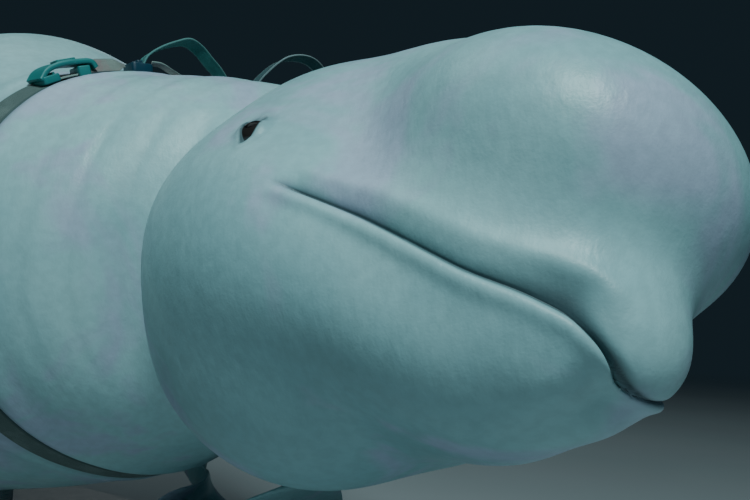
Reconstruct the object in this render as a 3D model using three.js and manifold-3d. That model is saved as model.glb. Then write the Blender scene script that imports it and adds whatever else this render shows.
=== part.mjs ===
// Beluga whale, life size, swimming over a plain display stand.
// Millimetres. The animal is shaped in a straight frame first: X forward from the beak, Y to its left, Z up.
// Then its neck and tail are bent, the whole is banked, and it is set over the base.

import * as THREE from 'three';
import Module from 'manifold-3d';
import { mergeVertices } from 'three/addons/utils/BufferGeometryUtils.js';

const wasm = await Module();
wasm.setup();

// Driving sizes of the animal

const GAP = 0.3;
const DEGREE = Math.PI / 180;

// The head's rounded forms: middle and half sizes. Their smooth union is the head.
const HEAD_FORMS = [
  { name: 'cranium', middle: [-432, 0, 14], half: [230, 194, 210] },
  { name: 'brow', middle: [-294, 0, 128], half: [158, 131, 126] },
  { name: 'melon', middle: [-155, 0, 125], half: [158, 152, 110] },
  { name: 'snout', middle: [-210, 0, 4], half: [176, 128, 79] },
  { name: 'upper lips', middle: [-193, 0, 43], half: [149, 110, 63] },
  { name: 'beak', middle: [-63, 0, 7], half: [85, 65, 55] },
  { name: 'jaw', middle: [-110, 0, -32], half: [94, 57, 30] },
  { name: 'chin', middle: [-228, 0, -60], half: [170, 132, 78] },
  { name: 'throat', middle: [-393, 0, -96], half: [201, 173, 165] },
  { name: 'cheeks', middle: [-366, 113, -50], half: [181, 104, 114] },
];
const BLEND = 20;
const HUB = [-260, 0, -8];
const TIP_DROOP = 0.05;

// Trunk stations: distance behind the beak's root, back height, belly height, half width
const TRUNK = [
  [420, 150, -200, 152],
  [500, 163, -231, 188],
  [600, 204, -276, 229],
  [800, 204, -351, 314],
  [1050, 336, -410, 372],
  [1500, 352, -465, 415],
  [2000, 338, -450, 398],
  [2500, 272, -375, 318],
  [3000, 175, -262, 212],
  [3400, 105, -175, 122],
  [3700, 62, -118, 62],
  [3900, 40, -80, 44],
  [4050, 22, -50, 30],
];
const TRUNK_SQUARENESS = 2.15;
const TRUNK_START = 342;
const TRUNK_NOSE = [340, 560];
const AXIS_SETTLES = 700;

// The head is turned to the right, so the skin folds in behind the right cheek.
// The fold starts at `from` to the side of the middle and is full from `to`.
const CHEEK_FOLD = { depth: 35, behind: 529, reach: 63, from: 30, to: 140 };

// Mouth line: distance behind the beak's root and height
const MOUTH_LINE = [[-20, -24], [-15, -12.5], [-5, -5], [8, -2.2], [24, -3], [80, -9], [165, -7], [241, -16]];
const GAPE = 241;
const MOUTH_GROOVE = { depth: 8, reach: 5 };
const LIPS = { above: 2.5, below: 4, offset: 14, reach: 8 };
// The lower jaw is narrower than the tip of the beak and stands back under it on both sides
const JAW_SETBACK = {
  depth: 13, forward: [-70, 10], side: [2, 12], fading: [16, 40], kept: 0.25, under: [-1, 3],
};

const RIDGE = { from: 1650, to: 2600, height: 26, reach: 45 };
const LIP_ENDS = [216, 249];

// Side outlines of the two pieces parted from the head: forward and height
const JAW_CUT = { front: 60, step: 21.5, back: [-269, -90], foot: [-271, -320] };
const MELON_CUT = [[60, 44], [-40, 44], [-120, 62], [-220, 96], [-300, 150], [-330, 320], [60, 320]];

const EYE = { behind: 333, height: 19, ball: 20, sunk: 16.5, lid: 4, slit: [41, 17], slant: 56 };
const BLOWHOLE = { behind: 372, left: 12, radius: 34, width: 7, depth: 16, sweep: 150 };
const EAR = { behind: 402, height: -2, radius: 3, depth: 7 };

// Where the trunk is parted
const PARTS = { neck: 540, chest: 848, torso: 1350, rear: 2300, stock: 3100 };

const FLIPPER = {
  root: [-985, 265, -242],
  chord: [[0, 176], [0.22, 212], [0.55, 270], [0.78, 268], [0.92, 196], [0.98, 112], [1, 46]],
  thickness: [[0, 56], [0.3, 40], [0.7, 24], [1, 9]],
  sweep: 34,
  twist: [0, 0.8],
  sections: [-0.12, 0, 0.1, 0.2, 0.32, 0.44, 0.56, 0.68, 0.78, 0.86, 0.92, 0.96, 0.985, 1],
  around: 20,
  blunt: 0.28,
};
// Each flipper's middle line as steps from its root, and where its leading edge faces at root and tip
const FLIPPER_LEFT = {
  bow: [62, 285, -200], tip: [402, -100, -70], leadRoot: [0.95, -0.1, -0.3], leadTip: [0.1, -0.95, -0.1],
};
const FLIPPER_RIGHT = {
  bow: [-30, 210, -120], tip: [-230, 370, -150], leadRoot: [0.88, 0.45, 0.1], leadTip: [0.88, 0.45, 0.1],
};

const FLUKES = {
  span: 1040, root: 50, back: 3830, notch: 4128, tip: 4142, convex: 66, tipReach: 0.92,
  stockHalf: 67, bladeHalf: 15, edgeHalf: 2.4, lift: -22,
};

// Pose: the trunk turned against the head as a rotation vector in degrees, the tail's droop, and the bank
const NECK_TURN = [3, -24, 18.5];
const NECK_ZONE = [426, 747];
const TAIL_DROOP = -7;
const TAIL_ZONE = [2500, 3700];
const TRUNK_PIVOT = 1000;
const PIVOT_HEIGHT = -20;
const BANK = -22;
const SPINE_STEP = 5;
const SPINE_END = 4300;

// Harness: places on it are an angle round the ring from its left, a height over the skin, a step forward
const STRAP = { behind: 815, forward: 50, rises: [60, 220], width: 34, thick: 3.2, sink: 5, steps: 44 };
// The buckle bridges the webbing: corners of its side outline, round the body and outward
const BUCKLE = {
  angle: 147.4,
  width: 37,
  outline: [
    [-31, 0], [-14, 0], [-14, 12], [-10, 15], [4, 15], [8, 12],
    [8, 0], [32, 0], [32, 9], [18, 22], [-26, 22], [-31, 14],
  ],
};
const LATCH = { angle: 145.8, length: 26, width: 26, thick: 4, corner: 3 };
const BAND = { angles: [140.2, 132.9], forward: 5, width: 18, thick: 2.4, point: 0.3 };
const MOUNT = { angle: 128.8, length: 32, width: 34, thick: 20, corner: 5 };
const WEBBING_LOOP = { width: 20, thick: 2.6, turned: [12, 45], turning: [0.2, 0.65] };
const HANDLE_LOOP = [
  [128.6, 17, 6], [127.2, 30, 8], [123.6, 46, 10], [119.2, 60.6, 10], [115, 72, 10],
  [111.2, 70, 8], [107.7, 62.4, 6], [103.3, 56, 3], [99.4, 44, 1], [97, 22, 0], [96.2, -3, 0],
];
const FAR_LOOP = [
  [93, -3, 2], [93.8, 35, 18], [94.6, 78, 44], [93.2, 112, 70], [88.5, 130, 84],
  [82, 126, 84], [77.5, 92, 64], [77, 45, 34], [78, -3, 2],
];

// Stand
const BASE = { length: 2050, width: 950, thick: 30, corner: 90, behind: 1780, clearance: 70 };
const ROD = { radius: 32, flange: 85, flangeThick: 14, behind: [1220, 2420] };

// Grid
const COLUMNS = 44;
const FAN_ROWS = 19;
const CROWD = { head: 0.6, from: 430, to: 640 };
const HEAD_STATIONS = [285, 309, 333, 357, 382, 410, 440, 472, 506];
const NECK_STATIONS = [575, 612, 650, 690, 730, 770, 810];
const CHEST_STATIONS = [920, 985, 1060, 1150, 1250];
const TORSO_STATIONS = [1460, 1580, 1700, 1820, 1940, 2060, 2180];
const REAR_STATIONS = [2420, 2540, 2660, 2780, 2890, 3000];
const STOCK_STATIONS = [3200, 3300, 3400, 3500, 3600, 3690, 3770];
const FLUKE_ROWS = 11;

// Colours
const COLOURS = {
  skin: 0xd9dedb, eye: 0x17191c, webbing: 0x5f7f7a, buckle: 0x2f8f8c, band: 0xcfa9a6,
  hardware: 0x1f3f55, loop: 0x2e8a86, base: 0x8f9498, rod: 0xb4b8bb,
};

// Curves and small sums

function clamp(value, low, high) {
  return Math.min(Math.max(value, low), high);
}

function smooth(value, from, to) {
  const t = clamp((value - from) / (to - from), 0, 1);
  return t * t * (3 - 2 * t);
}

// A cubic through the points that never overshoots them: column 0 is the place, another the value
function curveThrough(points, column = 1) {
  const last = points.length - 1;
  const steps = [];
  const slopes = [];
  for (let i = 0; i < last; i += 1) {
    steps.push(points[i + 1][0] - points[i][0]);
    slopes.push((points[i + 1][column] - points[i][column]) / steps[i]);
  }
  const tangents = points.map((_, i) => {
    if (i === 0) return slopes[0];
    if (i === last) return slopes[last - 1];
    if (slopes[i - 1] * slopes[i] <= 0) return 0;
    const a = 2 * steps[i] + steps[i - 1];
    const b = steps[i] + 2 * steps[i - 1];
    return (a + b) / (a / slopes[i - 1] + b / slopes[i]);
  });
  return (place) => {
    const x = clamp(place, points[0][0], points[last][0]);
    let i = 0;
    while (i < last - 1 && x > points[i + 1][0]) i += 1;
    const t = (x - points[i][0]) / steps[i];
    const near = points[i][column] * (1 + 2 * t) * (1 - t) ** 2 + tangents[i] * steps[i] * t * (1 - t) ** 2;
    const far = points[i + 1][column] * (3 - 2 * t) * t * t + tangents[i + 1] * steps[i] * t * t * (t - 1);
    return near + far;
  };
}

const backHeight = curveThrough(TRUNK, 1);
const bellyHeight = curveThrough(TRUNK, 2);
const halfWidth = curveThrough(TRUNK, 3);
const mouthHeight = curveThrough(MOUTH_LINE);

// The body's surface

function formDistance(point, form) {
  let size = 0;
  let slope = 0;
  for (let i = 0; i < 3; i += 1) {
    const coordinate = i === 1 && form.middle[1] !== 0 ? Math.abs(point[1]) : point[i];
    const ratio = (coordinate - form.middle[i]) / form.half[i];
    size += ratio * ratio;
    slope += (ratio / form.half[i]) ** 2;
  }
  size = Math.sqrt(size) + 1e-9;
  return (size * (size - 1)) / (Math.sqrt(slope) + 1e-12);
}

function trunkDistance(point) {
  const behind = -point[0];
  if (behind < TRUNK_START) return 400;
  const back = backHeight(behind);
  const belly = bellyHeight(behind);
  const wide = halfWidth(behind);
  const nose = clamp((TRUNK_NOSE[1] - behind) / (TRUNK_NOSE[1] - TRUNK_NOSE[0]), 0, 0.999);
  const scale = Math.sqrt(1 - nose * nose);
  const tall = (back - belly) / 2;
  const n = TRUNK_SQUARENESS;
  const across = (Math.abs(point[1]) / (wide * scale)) ** n;
  const up = (Math.abs(point[2] - (back + belly) / 2) / (tall * scale)) ** n;
  return ((across + up) ** (1 / n) - 1) * Math.min(wide, tall) * scale;
}

function bell(offset, reach) {
  return Math.exp(-((offset / reach) ** 2));
}

function cheekFold(point) {
  const { depth, behind, reach, from, to } = CHEEK_FOLD;
  return depth * bell(-point[0] - behind, reach) * smooth(-point[1], from, to);
}

// Below zero inside the body: the forms melt together over the blend length
function bodyDistance(point) {
  const distances = HEAD_FORMS.map((form) => formDistance(point, form));
  distances.push(trunkDistance(point));
  const nearest = Math.min(...distances);
  const sum = distances.reduce((total, d) => total + Math.exp((nearest - d) / BLEND), 0);
  return nearest - BLEND * Math.log(sum) + cheekFold(point);
}

function along(origin, direction, distance) {
  return origin.map((value, i) => value + direction[i] * distance);
}

// Distance from a point inside the body to its surface
function reachOf(origin, direction) {
  const step = 16;
  let inside = 12;
  while (bodyDistance(along(origin, direction, inside + step)) < 0) inside += step;
  let outside = inside + step;
  for (let i = 0; i < 16; i += 1) {
    const middle = (inside + outside) / 2;
    if (bodyDistance(along(origin, direction, middle)) < 0) inside = middle;
    else outside = middle;
  }
  return (inside + outside) / 2;
}

// Mouth groove, lips and the ridge of the back, as height over the smooth body
function relief(point) {
  const behind = -point[0];
  const offMouth = point[2] - mouthHeight(behind);
  const closing = 1 - smooth(behind, ...LIP_ENDS);
  const groove = -MOUTH_GROOVE.depth * bell(offMouth, MOUTH_GROOVE.reach);
  const upperLip = LIPS.above * bell(offMouth - LIPS.offset, LIPS.reach);
  const lowerLip = LIPS.below * bell(offMouth + LIPS.offset, LIPS.reach);
  const aside = Math.abs(point[1]);
  const fading = 1 - (1 - JAW_SETBACK.kept) * smooth(aside, ...JAW_SETBACK.fading);
  const ahead = smooth(point[0], ...JAW_SETBACK.forward) * smooth(aside, ...JAW_SETBACK.side) * fading;
  const setback = JAW_SETBACK.depth * ahead * smooth(-offMouth, ...JAW_SETBACK.under);
  const risen = smooth(behind, RIDGE.from, RIDGE.from + 250);
  const ridgeLength = risen * (1 - smooth(behind, RIDGE.to - 350, RIDGE.to));
  const onBack = point[2] > 0 ? bell(point[1], RIDGE.reach) : 0;
  const mouth = (groove + upperLip + lowerLip) * closing - setback;
  return mouth + RIDGE.height * ridgeLength * onBack;
}

function surfacePoint(origin, direction, swell = 0) {
  const reach = reachOf(origin, direction);
  const smoothPoint = along(origin, direction, reach);
  return along(origin, direction, reach + relief(smoothPoint) + swell);
}

// Rings of the grid. Column 0 follows the mouth line on the left, and half way round, on the right.

function axisHeight(behind) {
  const middle = (backHeight(behind) + bellyHeight(behind)) / 2;
  const t = clamp((behind + HUB[0]) / (AXIS_SETTLES + HUB[0]), 0, 1);
  return behind < AXIS_SETTLES ? HUB[2] + (middle - HUB[2]) * t : middle;
}

function ringDirection(angle, lean) {
  const droop = -TIP_DROOP * Math.sin(lean) ** 8;
  const d = [Math.sin(lean), Math.cos(lean) * Math.cos(angle), Math.cos(lean) * Math.sin(angle) + droop];
  const length = Math.hypot(...d);
  return d.map((value) => value / length);
}

// Angle at which a ring meets the mouth line, or its level line further back
function mouthAngle(origin, lean) {
  let angle = 0;
  const fade = 1 - smooth(-origin[0], GAPE + 60, CROWD.to);
  for (let i = 0; i < 4; i += 1) {
    const direction = ringDirection(angle, lean);
    const reach = reachOf(origin, direction);
    const at = along(origin, direction, reach);
    const rise = mouthHeight(-at[0]) - origin[2] + TIP_DROOP * Math.sin(lean) ** 8 * reach;
    angle = Math.asin(clamp(rise / Math.max(reach * Math.cos(lean), 12), -0.6, 0.6));
  }
  return angle * fade;
}

function columnAngles(mouth, crowd) {
  const half = COLUMNS / 2;
  const angles = [];
  for (let j = 0; j < COLUMNS; j += 1) {
    const t = (j % half) / half;
    const share = t - (crowd * Math.sin(2 * Math.PI * t)) / (2 * Math.PI);
    if (j < half) angles.push(mouth + (Math.PI - 2 * mouth) * share);
    else angles.push(Math.PI - mouth + (Math.PI + 2 * mouth) * share);
  }
  return angles;
}

function ring(origin, lean, swell) {
  const crowd = CROWD.head * (1 - smooth(-origin[0], CROWD.from, CROWD.to));
  const angles = columnAngles(mouthAngle(origin, lean), crowd);
  return angles.map((angle) => surfacePoint(origin, ringDirection(angle, lean), swell));
}

function ringAt(behind, swell = 0) {
  return ring([-behind, 0, axisHeight(behind)], 0, swell);
}

function headFan(swell = 0) {
  const rings = [];
  for (let i = 1; i <= FAN_ROWS; i += 1) {
    const lean = (Math.PI / 2) * (1 - i / FAN_ROWS);
    rings.push(ring(HUB, lean, swell));
  }
  return rings;
}

function beakTip(swell = 0) {
  return surfacePoint(HUB, ringDirection(0, Math.PI / 2), swell);
}

// Closed solids from rings

function addRing(positions, points) {
  points.forEach((point) => positions.push(...point));
}

function centreOf(points) {
  return [0, 1, 2].map((i) => points.reduce((sum, point) => sum + point[i], 0) / points.length);
}

// Rings skinned in order, with a point or the ring's middle closing each end
function solidOfRings(rings, startPoint = null, zipEnd = false) {
  const n = rings[0].length;
  const positions = [];
  const index = [];
  rings.forEach((points) => addRing(positions, points));
  for (let i = 0; i + 1 < rings.length; i += 1) {
    for (let j = 0; j < n; j += 1) {
      const a = i * n + j;
      const b = i * n + ((j + 1) % n);
      index.push(a, b, b + n, a, b + n, a + n);
    }
  }
  const first = positions.length / 3;
  positions.push(...(startPoint ?? centreOf(rings[0])));
  for (let j = 0; j < n; j += 1) index.push(first, (j + 1) % n, j);
  const lastRow = (rings.length - 1) * n;
  if (zipEnd) {
    for (let j = 1; j < n / 2; j += 1) {
      const upper = lastRow + j;
      const lower = lastRow + n - j;
      const upperNext = upper + 1;
      const lowerNext = lower - 1;
      if (j === 1) index.push(lastRow, upper, lower);
      if (upperNext === lowerNext) index.push(upper, upperNext, lower);
      else index.push(upper, upperNext, lowerNext, upper, lowerNext, lower);
    }
  } else {
    const end = positions.length / 3;
    positions.push(...centreOf(rings[rings.length - 1]));
    for (let j = 0; j < n; j += 1) index.push(end, lastRow + j, lastRow + ((j + 1) % n));
  }
  const geometry = new THREE.BufferGeometry();
  geometry.setAttribute('position', new THREE.Float32BufferAttribute(positions, 3));
  geometry.setIndex(index);
  return toSolid(geometry);
}

function toSolid(source) {
  let geometry = source.clone();
  geometry.deleteAttribute('normal');
  geometry.deleteAttribute('uv');
  geometry = mergeVertices(geometry, 1e-4);
  const vertProperties = new Float32Array(geometry.attributes.position.array);
  const triVerts = new Uint32Array(geometry.index.array);
  const solid = new wasm.Manifold(new wasm.Mesh({ numProp: 3, vertProperties, triVerts }));
  if (solid.volume() >= 0) return solid;
  for (let i = 0; i < triVerts.length; i += 3) {
    [triVerts[i], triVerts[i + 1]] = [triVerts[i + 1], triVerts[i]];
  }
  return new wasm.Manifold(new wasm.Mesh({ numProp: 3, vertProperties, triVerts }));
}

function largest(solid) {
  return solid.decompose().reduce((best, piece) => (piece.volume() > best.volume() ? piece : best));
}

function toGeometry(solid, place = null) {
  const mesh = solid.getMesh();
  const count = mesh.vertProperties.length / mesh.numProp;
  const positions = new Float32Array(count * 3);
  for (let i = 0; i < count; i += 1) {
    const point = [0, 1, 2].map((k) => mesh.vertProperties[i * mesh.numProp + k]);
    positions.set(place ? place(point) : point, i * 3);
  }
  const geometry = new THREE.BufferGeometry();
  geometry.setAttribute('position', new THREE.BufferAttribute(positions, 3));
  geometry.setIndex(new THREE.BufferAttribute(mesh.triVerts, 1));
  return geometry;
}

// The pose: a spine of places and turns behind the beak, found once

function turnOf(vectorInDegrees, share) {
  const vector = new THREE.Vector3(...vectorInDegrees).multiplyScalar(DEGREE * share);
  const angle = vector.length();
  return new THREE.Quaternion().setFromAxisAngle(vector.normalize(), angle);
}

function spineOf() {
  const places = [new THREE.Vector3(0, 0, PIVOT_HEIGHT)];
  const turns = [];
  for (let behind = 0; behind <= SPINE_END; behind += SPINE_STEP) {
    const neck = turnOf(NECK_TURN, smooth(behind, ...NECK_ZONE));
    const tail = turnOf([0, TAIL_DROOP, 0], smooth(behind, ...TAIL_ZONE));
    turns.push(neck.multiply(tail));
  }
  for (let i = 1; i < turns.length; i += 1) {
    const step = new THREE.Vector3(-SPINE_STEP, 0, 0);
    const before = step.clone().applyQuaternion(turns[i - 1]);
    const after = step.clone().applyQuaternion(turns[i]);
    places.push(before.add(after).multiplyScalar(0.5).add(places[i - 1]));
  }
  return { places, turns };
}

const SPINE = spineOf();
const LEVEL = turnOf(NECK_TURN, 1).invert();
const ROLL = new THREE.Quaternion().setFromAxisAngle(new THREE.Vector3(1, 0, 0), BANK * DEGREE);

function bodyPose(point) {
  const behind = Math.max(-point[0], 0);
  const position = behind / SPINE_STEP;
  const i = clamp(Math.floor(position), 0, SPINE.turns.length - 2);
  const share = position - i;
  const offset = new THREE.Vector3(Math.max(point[0], 0), point[1], point[2] - PIVOT_HEIGHT);
  const near = offset.clone().applyQuaternion(SPINE.turns[i]).add(SPINE.places[i]);
  const far = offset.clone().applyQuaternion(SPINE.turns[i + 1]).add(SPINE.places[i + 1]);
  const posed = near.lerp(far, share).applyQuaternion(LEVEL).applyQuaternion(ROLL);
  return posed.toArray();
}

// The same pose without the neck's and the tail's bend, for what hangs from the trunk
function trunkPose(point) {
  const i = TRUNK_PIVOT / SPINE_STEP;
  const offset = new THREE.Vector3(point[0] + TRUNK_PIVOT, point[1], point[2] - PIVOT_HEIGHT);
  const posed = offset.applyQuaternion(SPINE.turns[i]).add(SPINE.places[i]);
  return posed.applyQuaternion(LEVEL).applyQuaternion(ROLL).toArray();
}

// Head

function sideProfileCut(outline) {
  const halfThickness = 500;
  const shape = new THREE.Shape(outline.map(([x, z]) => new THREE.Vector2(x, z)));
  const geometry = new THREE.ExtrudeGeometry(shape, { depth: 2 * halfThickness, bevelEnabled: false });
  geometry.rotateX(Math.PI / 2);
  geometry.translate(0, halfThickness, 0);
  return toSolid(geometry);
}

// The lower jaw, cut along the mouth line and down behind its corner
function jawOutline(offset) {
  const { front, step, back, foot } = JAW_CUT;
  const outline = [];
  for (let behind = -front; behind <= GAPE; behind += step) {
    outline.push([-behind, mouthHeight(behind) - offset]);
  }
  outline.push([-GAPE + offset, mouthHeight(GAPE) - offset]);
  outline.push([back[0] + offset, back[1]], [foot[0] + offset, foot[1]], [front, foot[1]]);
  return outline;
}

// The melon, over the beak's crease and in front of the blowhole
function melonOutline(offset) {
  const last = MELON_CUT.length - 1;
  return MELON_CUT.map(([x, z], i) => {
    const ahead = i === last - 1 || i === last - 2 ? offset : 0;
    return [x + ahead, i < last - 1 ? z + offset : z];
  });
}

function lens(length, height, depth) {
  const radius = (length * length + height * height) / (4 * height);
  const half = Math.asin(length / 2 / radius);
  const shape = new THREE.Shape();
  shape.absarc(0, height / 2 - radius, radius, Math.PI / 2 - half, Math.PI / 2 + half, false);
  shape.absarc(0, radius - height / 2, radius, -Math.PI / 2 - half, -Math.PI / 2 + half, false);
  return new THREE.ExtrudeGeometry(shape, { depth, bevelEnabled: false, curveSegments: 6 });
}

function eyeCentre(side) {
  const origin = [-EYE.behind, 0, EYE.height];
  const reach = reachOf(origin, [0, side, 0]);
  return [-EYE.behind, side * (reach - EYE.sunk), EYE.height];
}

function ballAt(centre, radius) {
  const geometry = new THREE.IcosahedronGeometry(radius, 2);
  geometry.translate(...centre);
  return toSolid(geometry);
}

// Lids swell round the eyeball and leave a slanted slit
function withEye(head, side) {
  const centre = eyeCentre(side);
  const slit = lens(EYE.slit[0], EYE.slit[1], 60);
  slit.rotateX(side * -Math.PI / 2);
  slit.rotateY(EYE.slant * DEGREE);
  slit.translate(...centre);
  const lids = ballAt(centre, EYE.ball + EYE.lid);
  return head.add(lids).subtract(ballAt(centre, EYE.ball + GAP)).subtract(toSolid(slit));
}

function withBlowhole(head) {
  const half = (BLOWHOLE.sweep / 2) * DEGREE;
  const inner = BLOWHOLE.radius - BLOWHOLE.width;
  const shape = new THREE.Shape();
  shape.absarc(0, 0, BLOWHOLE.radius, Math.PI - half, Math.PI + half, false);
  shape.absarc(0, 0, inner, Math.PI + half, Math.PI - half, true);
  const geometry = new THREE.ExtrudeGeometry(shape, { depth: 80, bevelEnabled: false, curveSegments: 8 });
  const origin = [-BLOWHOLE.behind, BLOWHOLE.left, 0];
  const top = reachOf(origin, [0, 0, 1]);
  geometry.translate(origin[0] + BLOWHOLE.radius, origin[1], top - BLOWHOLE.depth);
  return head.subtract(toSolid(geometry));
}

function withEarHole(head, side) {
  const geometry = new THREE.ConeGeometry(EAR.radius, EAR.depth * 2, 8);
  const origin = [-EAR.behind, 0, EAR.height];
  const reach = reachOf(origin, [0, side, 0]);
  geometry.rotateX(side * -Math.PI / 2);
  geometry.translate(-EAR.behind, side * reach, EAR.height);
  return head.subtract(toSolid(geometry));
}

function headParts(headRings, tip) {
  let whole = solidOfRings(headRings, tip);
  whole = withBlowhole(whole);
  for (const side of [1, -1]) {
    whole = withEye(whole, side);
    whole = withEarHole(whole, side);
  }
  const half = GAP / 2;
  const lowerJaw = whole.intersect(sideProfileCut(jawOutline(half)));
  const upper = whole.subtract(sideProfileCut(jawOutline(-half)));
  const melon = upper.intersect(sideProfileCut(melonOutline(half)));
  const head = upper.subtract(sideProfileCut(melonOutline(-half)));
  return { head: largest(head), melon: largest(melon), lower_jaw: largest(lowerJaw) };
}

// Flippers: an oval blade along a bowed middle line, widest past its middle

function unit(vector) {
  const length = Math.hypot(...vector);
  return vector.map((value) => value / length);
}

function cross(a, b) {
  return [a[1] * b[2] - a[2] * b[1], a[2] * b[0] - a[0] * b[2], a[0] * b[1] - a[1] * b[0]];
}

function flipper(side, shape) {
  const chord = curveThrough(FLIPPER.chord);
  const thickness = curveThrough(FLIPPER.thickness);
  const { around, blunt } = FLIPPER;
  const rings = FLIPPER.sections.map((t) => {
    const middle = [0, 1, 2].map((k) => 2 * t * (1 - t) * shape.bow[k] + t * t * shape.tip[k]);
    const forward = unit([0, 1, 2].map((k) => 2 * (1 - 2 * t) * shape.bow[k] + 2 * t * shape.tip[k]));
    const twist = smooth(t, ...FLIPPER.twist);
    const leading = shape.leadRoot.map((v, k) => v + (shape.leadTip[k] - v) * twist);
    const face = unit(cross(forward, leading));
    const lead = cross(face, forward);
    const wide = chord(t) / 2;
    const thick = thickness(t) / 2;
    const shift = FLIPPER.sweep * Math.sin(Math.PI * clamp(t, 0, 1));
    return Array.from({ length: around }, (_, j) => {
      const angle = (2 * Math.PI * j) / around;
      const fore = wide * Math.cos(angle) + shift;
      const up = thick * Math.sin(angle) * (1 - blunt + blunt * Math.cos(angle));
      const step = [0, 1, 2].map((k) => middle[k] + fore * lead[k] + up * face[k]);
      return [FLIPPER.root[0] + step[0], side * (FLIPPER.root[1] + step[1]), FLIPPER.root[2] + step[2]];
    });
  });
  return solidOfRings(rings);
}

// Flukes: rings that widen from the tail's end to the trailing edge, with a notch in the middle

function flukePoint(v, angle) {
  const u = Math.cos(angle);
  const out = Math.abs(u);
  const lead = Math.sin((v * Math.PI) / 2);
  const wide = FLUKES.root + (FLUKES.span / 2 - FLUKES.root) * lead ** FLUKES.tipReach;
  const edge = FLUKES.back + (FLUKES.tip - FLUKES.back) * (1 - Math.cos((v * Math.PI) / 2)) ** 0.8;
  const middle = FLUKES.back + (FLUKES.notch - FLUKES.back) * v;
  const bulge = FLUKES.convex * v ** 2 * 2.2 * out ** 0.75 * (1 - out ** 1.6);
  const behind = middle + (edge - middle) * out ** 1.5 + bulge;
  const root = FLUKES.stockHalf * (1 - v) ** 2.4 * (1 - 0.6 * out * lead);
  const blade = FLUKES.bladeHalf * (1 - v) ** 0.7 * lead * (1 - 0.45 * out ** 2) * 2;
  const high = root + blade + FLUKES.edgeHalf;
  const level = FLUKES.lift + 16 * v * out;
  return [-behind, wide * u, level + high * Math.sin(angle)];
}

function flukeRings() {
  const rings = [];
  for (let i = 0; i < FLUKE_ROWS; i += 1) {
    const v = i / (FLUKE_ROWS - 1);
    const angles = Array.from({ length: COLUMNS }, (_, j) => (2 * Math.PI * j) / COLUMNS);
    rings.push(angles.map((angle) => flukePoint(v, angle)));
  }
  rings[0] = rings[0].map(([x, y, z]) => [x - GAP / 2, y, z]);
  return rings;
}

function flukePair() {
  const both = solidOfRings(flukeRings(), null, true);
  const halfSpace = (side) => {
    const box = new THREE.BoxGeometry(900, 800, 600);
    box.translate(-4000, side * (400 + GAP / 2), 0);
    return toSolid(box);
  };
  return {
    fluke_left: largest(both.intersect(halfSpace(1))),
    fluke_right: largest(both.intersect(halfSpace(-1))),
  };
}

// Trunk lengths between two partings, and the same a little larger for cutting what lies on it

function shifted(points, dx) {
  return points.map(([x, y, z]) => [x + dx, y, z]);
}

function trunkLength(from, stations, to, swell = 0) {
  const first = shifted(ringAt(from, swell), -GAP / 2);
  const last = shifted(ringAt(to, swell), GAP / 2);
  const middle = stations.map((behind) => ringAt(behind, swell));
  return solidOfRings([first, ...middle, last]);
}

function tailStock() {
  const first = shifted(ringAt(PARTS.stock), -GAP / 2);
  const middle = STOCK_STATIONS.map((behind) => ringAt(behind));
  const end = Array.from({ length: COLUMNS }, (_, j) => flukePoint(0, (2 * Math.PI * j) / COLUMNS));
  return solidOfRings([first, ...middle, shifted(end, GAP / 2)]);
}

const ALL_STATIONS = [
  PARTS.neck, ...NECK_STATIONS, PARTS.chest, ...CHEST_STATIONS, PARTS.torso,
  ...TORSO_STATIONS, PARTS.rear, ...REAR_STATIONS, PARTS.stock,
];

function wholeTrunk(swell) {
  return solidOfRings(ALL_STATIONS.map((behind) => ringAt(behind, swell)));
}

// Harness

function strapPlace(angle) {
  const rough = ringAtAngle(STRAP.behind, angle);
  const behind = STRAP.behind - STRAP.forward * smooth(rough[2], ...STRAP.rises);
  return behind;
}

function ringAtAngle(behind, angle, swell = 0) {
  return surfacePoint([-behind, 0, axisHeight(behind)], ringDirection(angle, 0), swell);
}

function bandRing(width, low, high) {
  return Array.from({ length: STRAP.steps }, (_, i) => {
    const angle = (2 * Math.PI * i) / STRAP.steps;
    const behind = strapPlace(angle);
    const edge = (dx, swell) => ringAtAngle(behind + dx, angle, swell);
    return [edge(-width / 2, low), edge(width / 2, low), edge(width / 2, high), edge(-width / 2, high)];
  });
}

function closedLoopSolid(sections) {
  const n = sections[0].length;
  const positions = [];
  const index = [];
  sections.forEach((points) => addRing(positions, points));
  sections.forEach((_, i) => {
    const next = (i + 1) % sections.length;
    for (let j = 0; j < n; j += 1) {
      const a = i * n + j;
      const b = i * n + ((j + 1) % n);
      const c = next * n + ((j + 1) % n);
      const d = next * n + j;
      index.push(a, b, c, a, c, d);
    }
  });
  const geometry = new THREE.BufferGeometry();
  geometry.setAttribute('position', new THREE.Float32BufferAttribute(positions, 3));
  geometry.setIndex(index);
  return toSolid(geometry);
}

// A place on the strap, lifted off the skin and moved forward, with the angle in degrees
function onStrap([degrees, lift, forward]) {
  const angle = degrees * DEGREE;
  return ringAtAngle(strapPlace(angle) - forward, angle, lift);
}

// Lays a flat piece on the strap: its X runs round the body, its Y forward and its Z outward
function laidOnStrap(geometry, degrees, lift, forward = 0) {
  const at = onStrap([degrees, lift, forward]);
  const before = onStrap([degrees - 1, lift, forward]);
  const after = onStrap([degrees + 1, lift, forward]);
  const round = unit(after.map((v, i) => v - before[i]));
  const out = unit(cross(round, [1, 0, 0]));
  const ahead = cross(out, round);
  const basis = new THREE.Matrix4().makeBasis(
    new THREE.Vector3(...round), new THREE.Vector3(...ahead), new THREE.Vector3(...out),
  );
  basis.setPosition(...at);
  geometry.applyMatrix4(basis);
  return toSolid(geometry);
}

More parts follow.
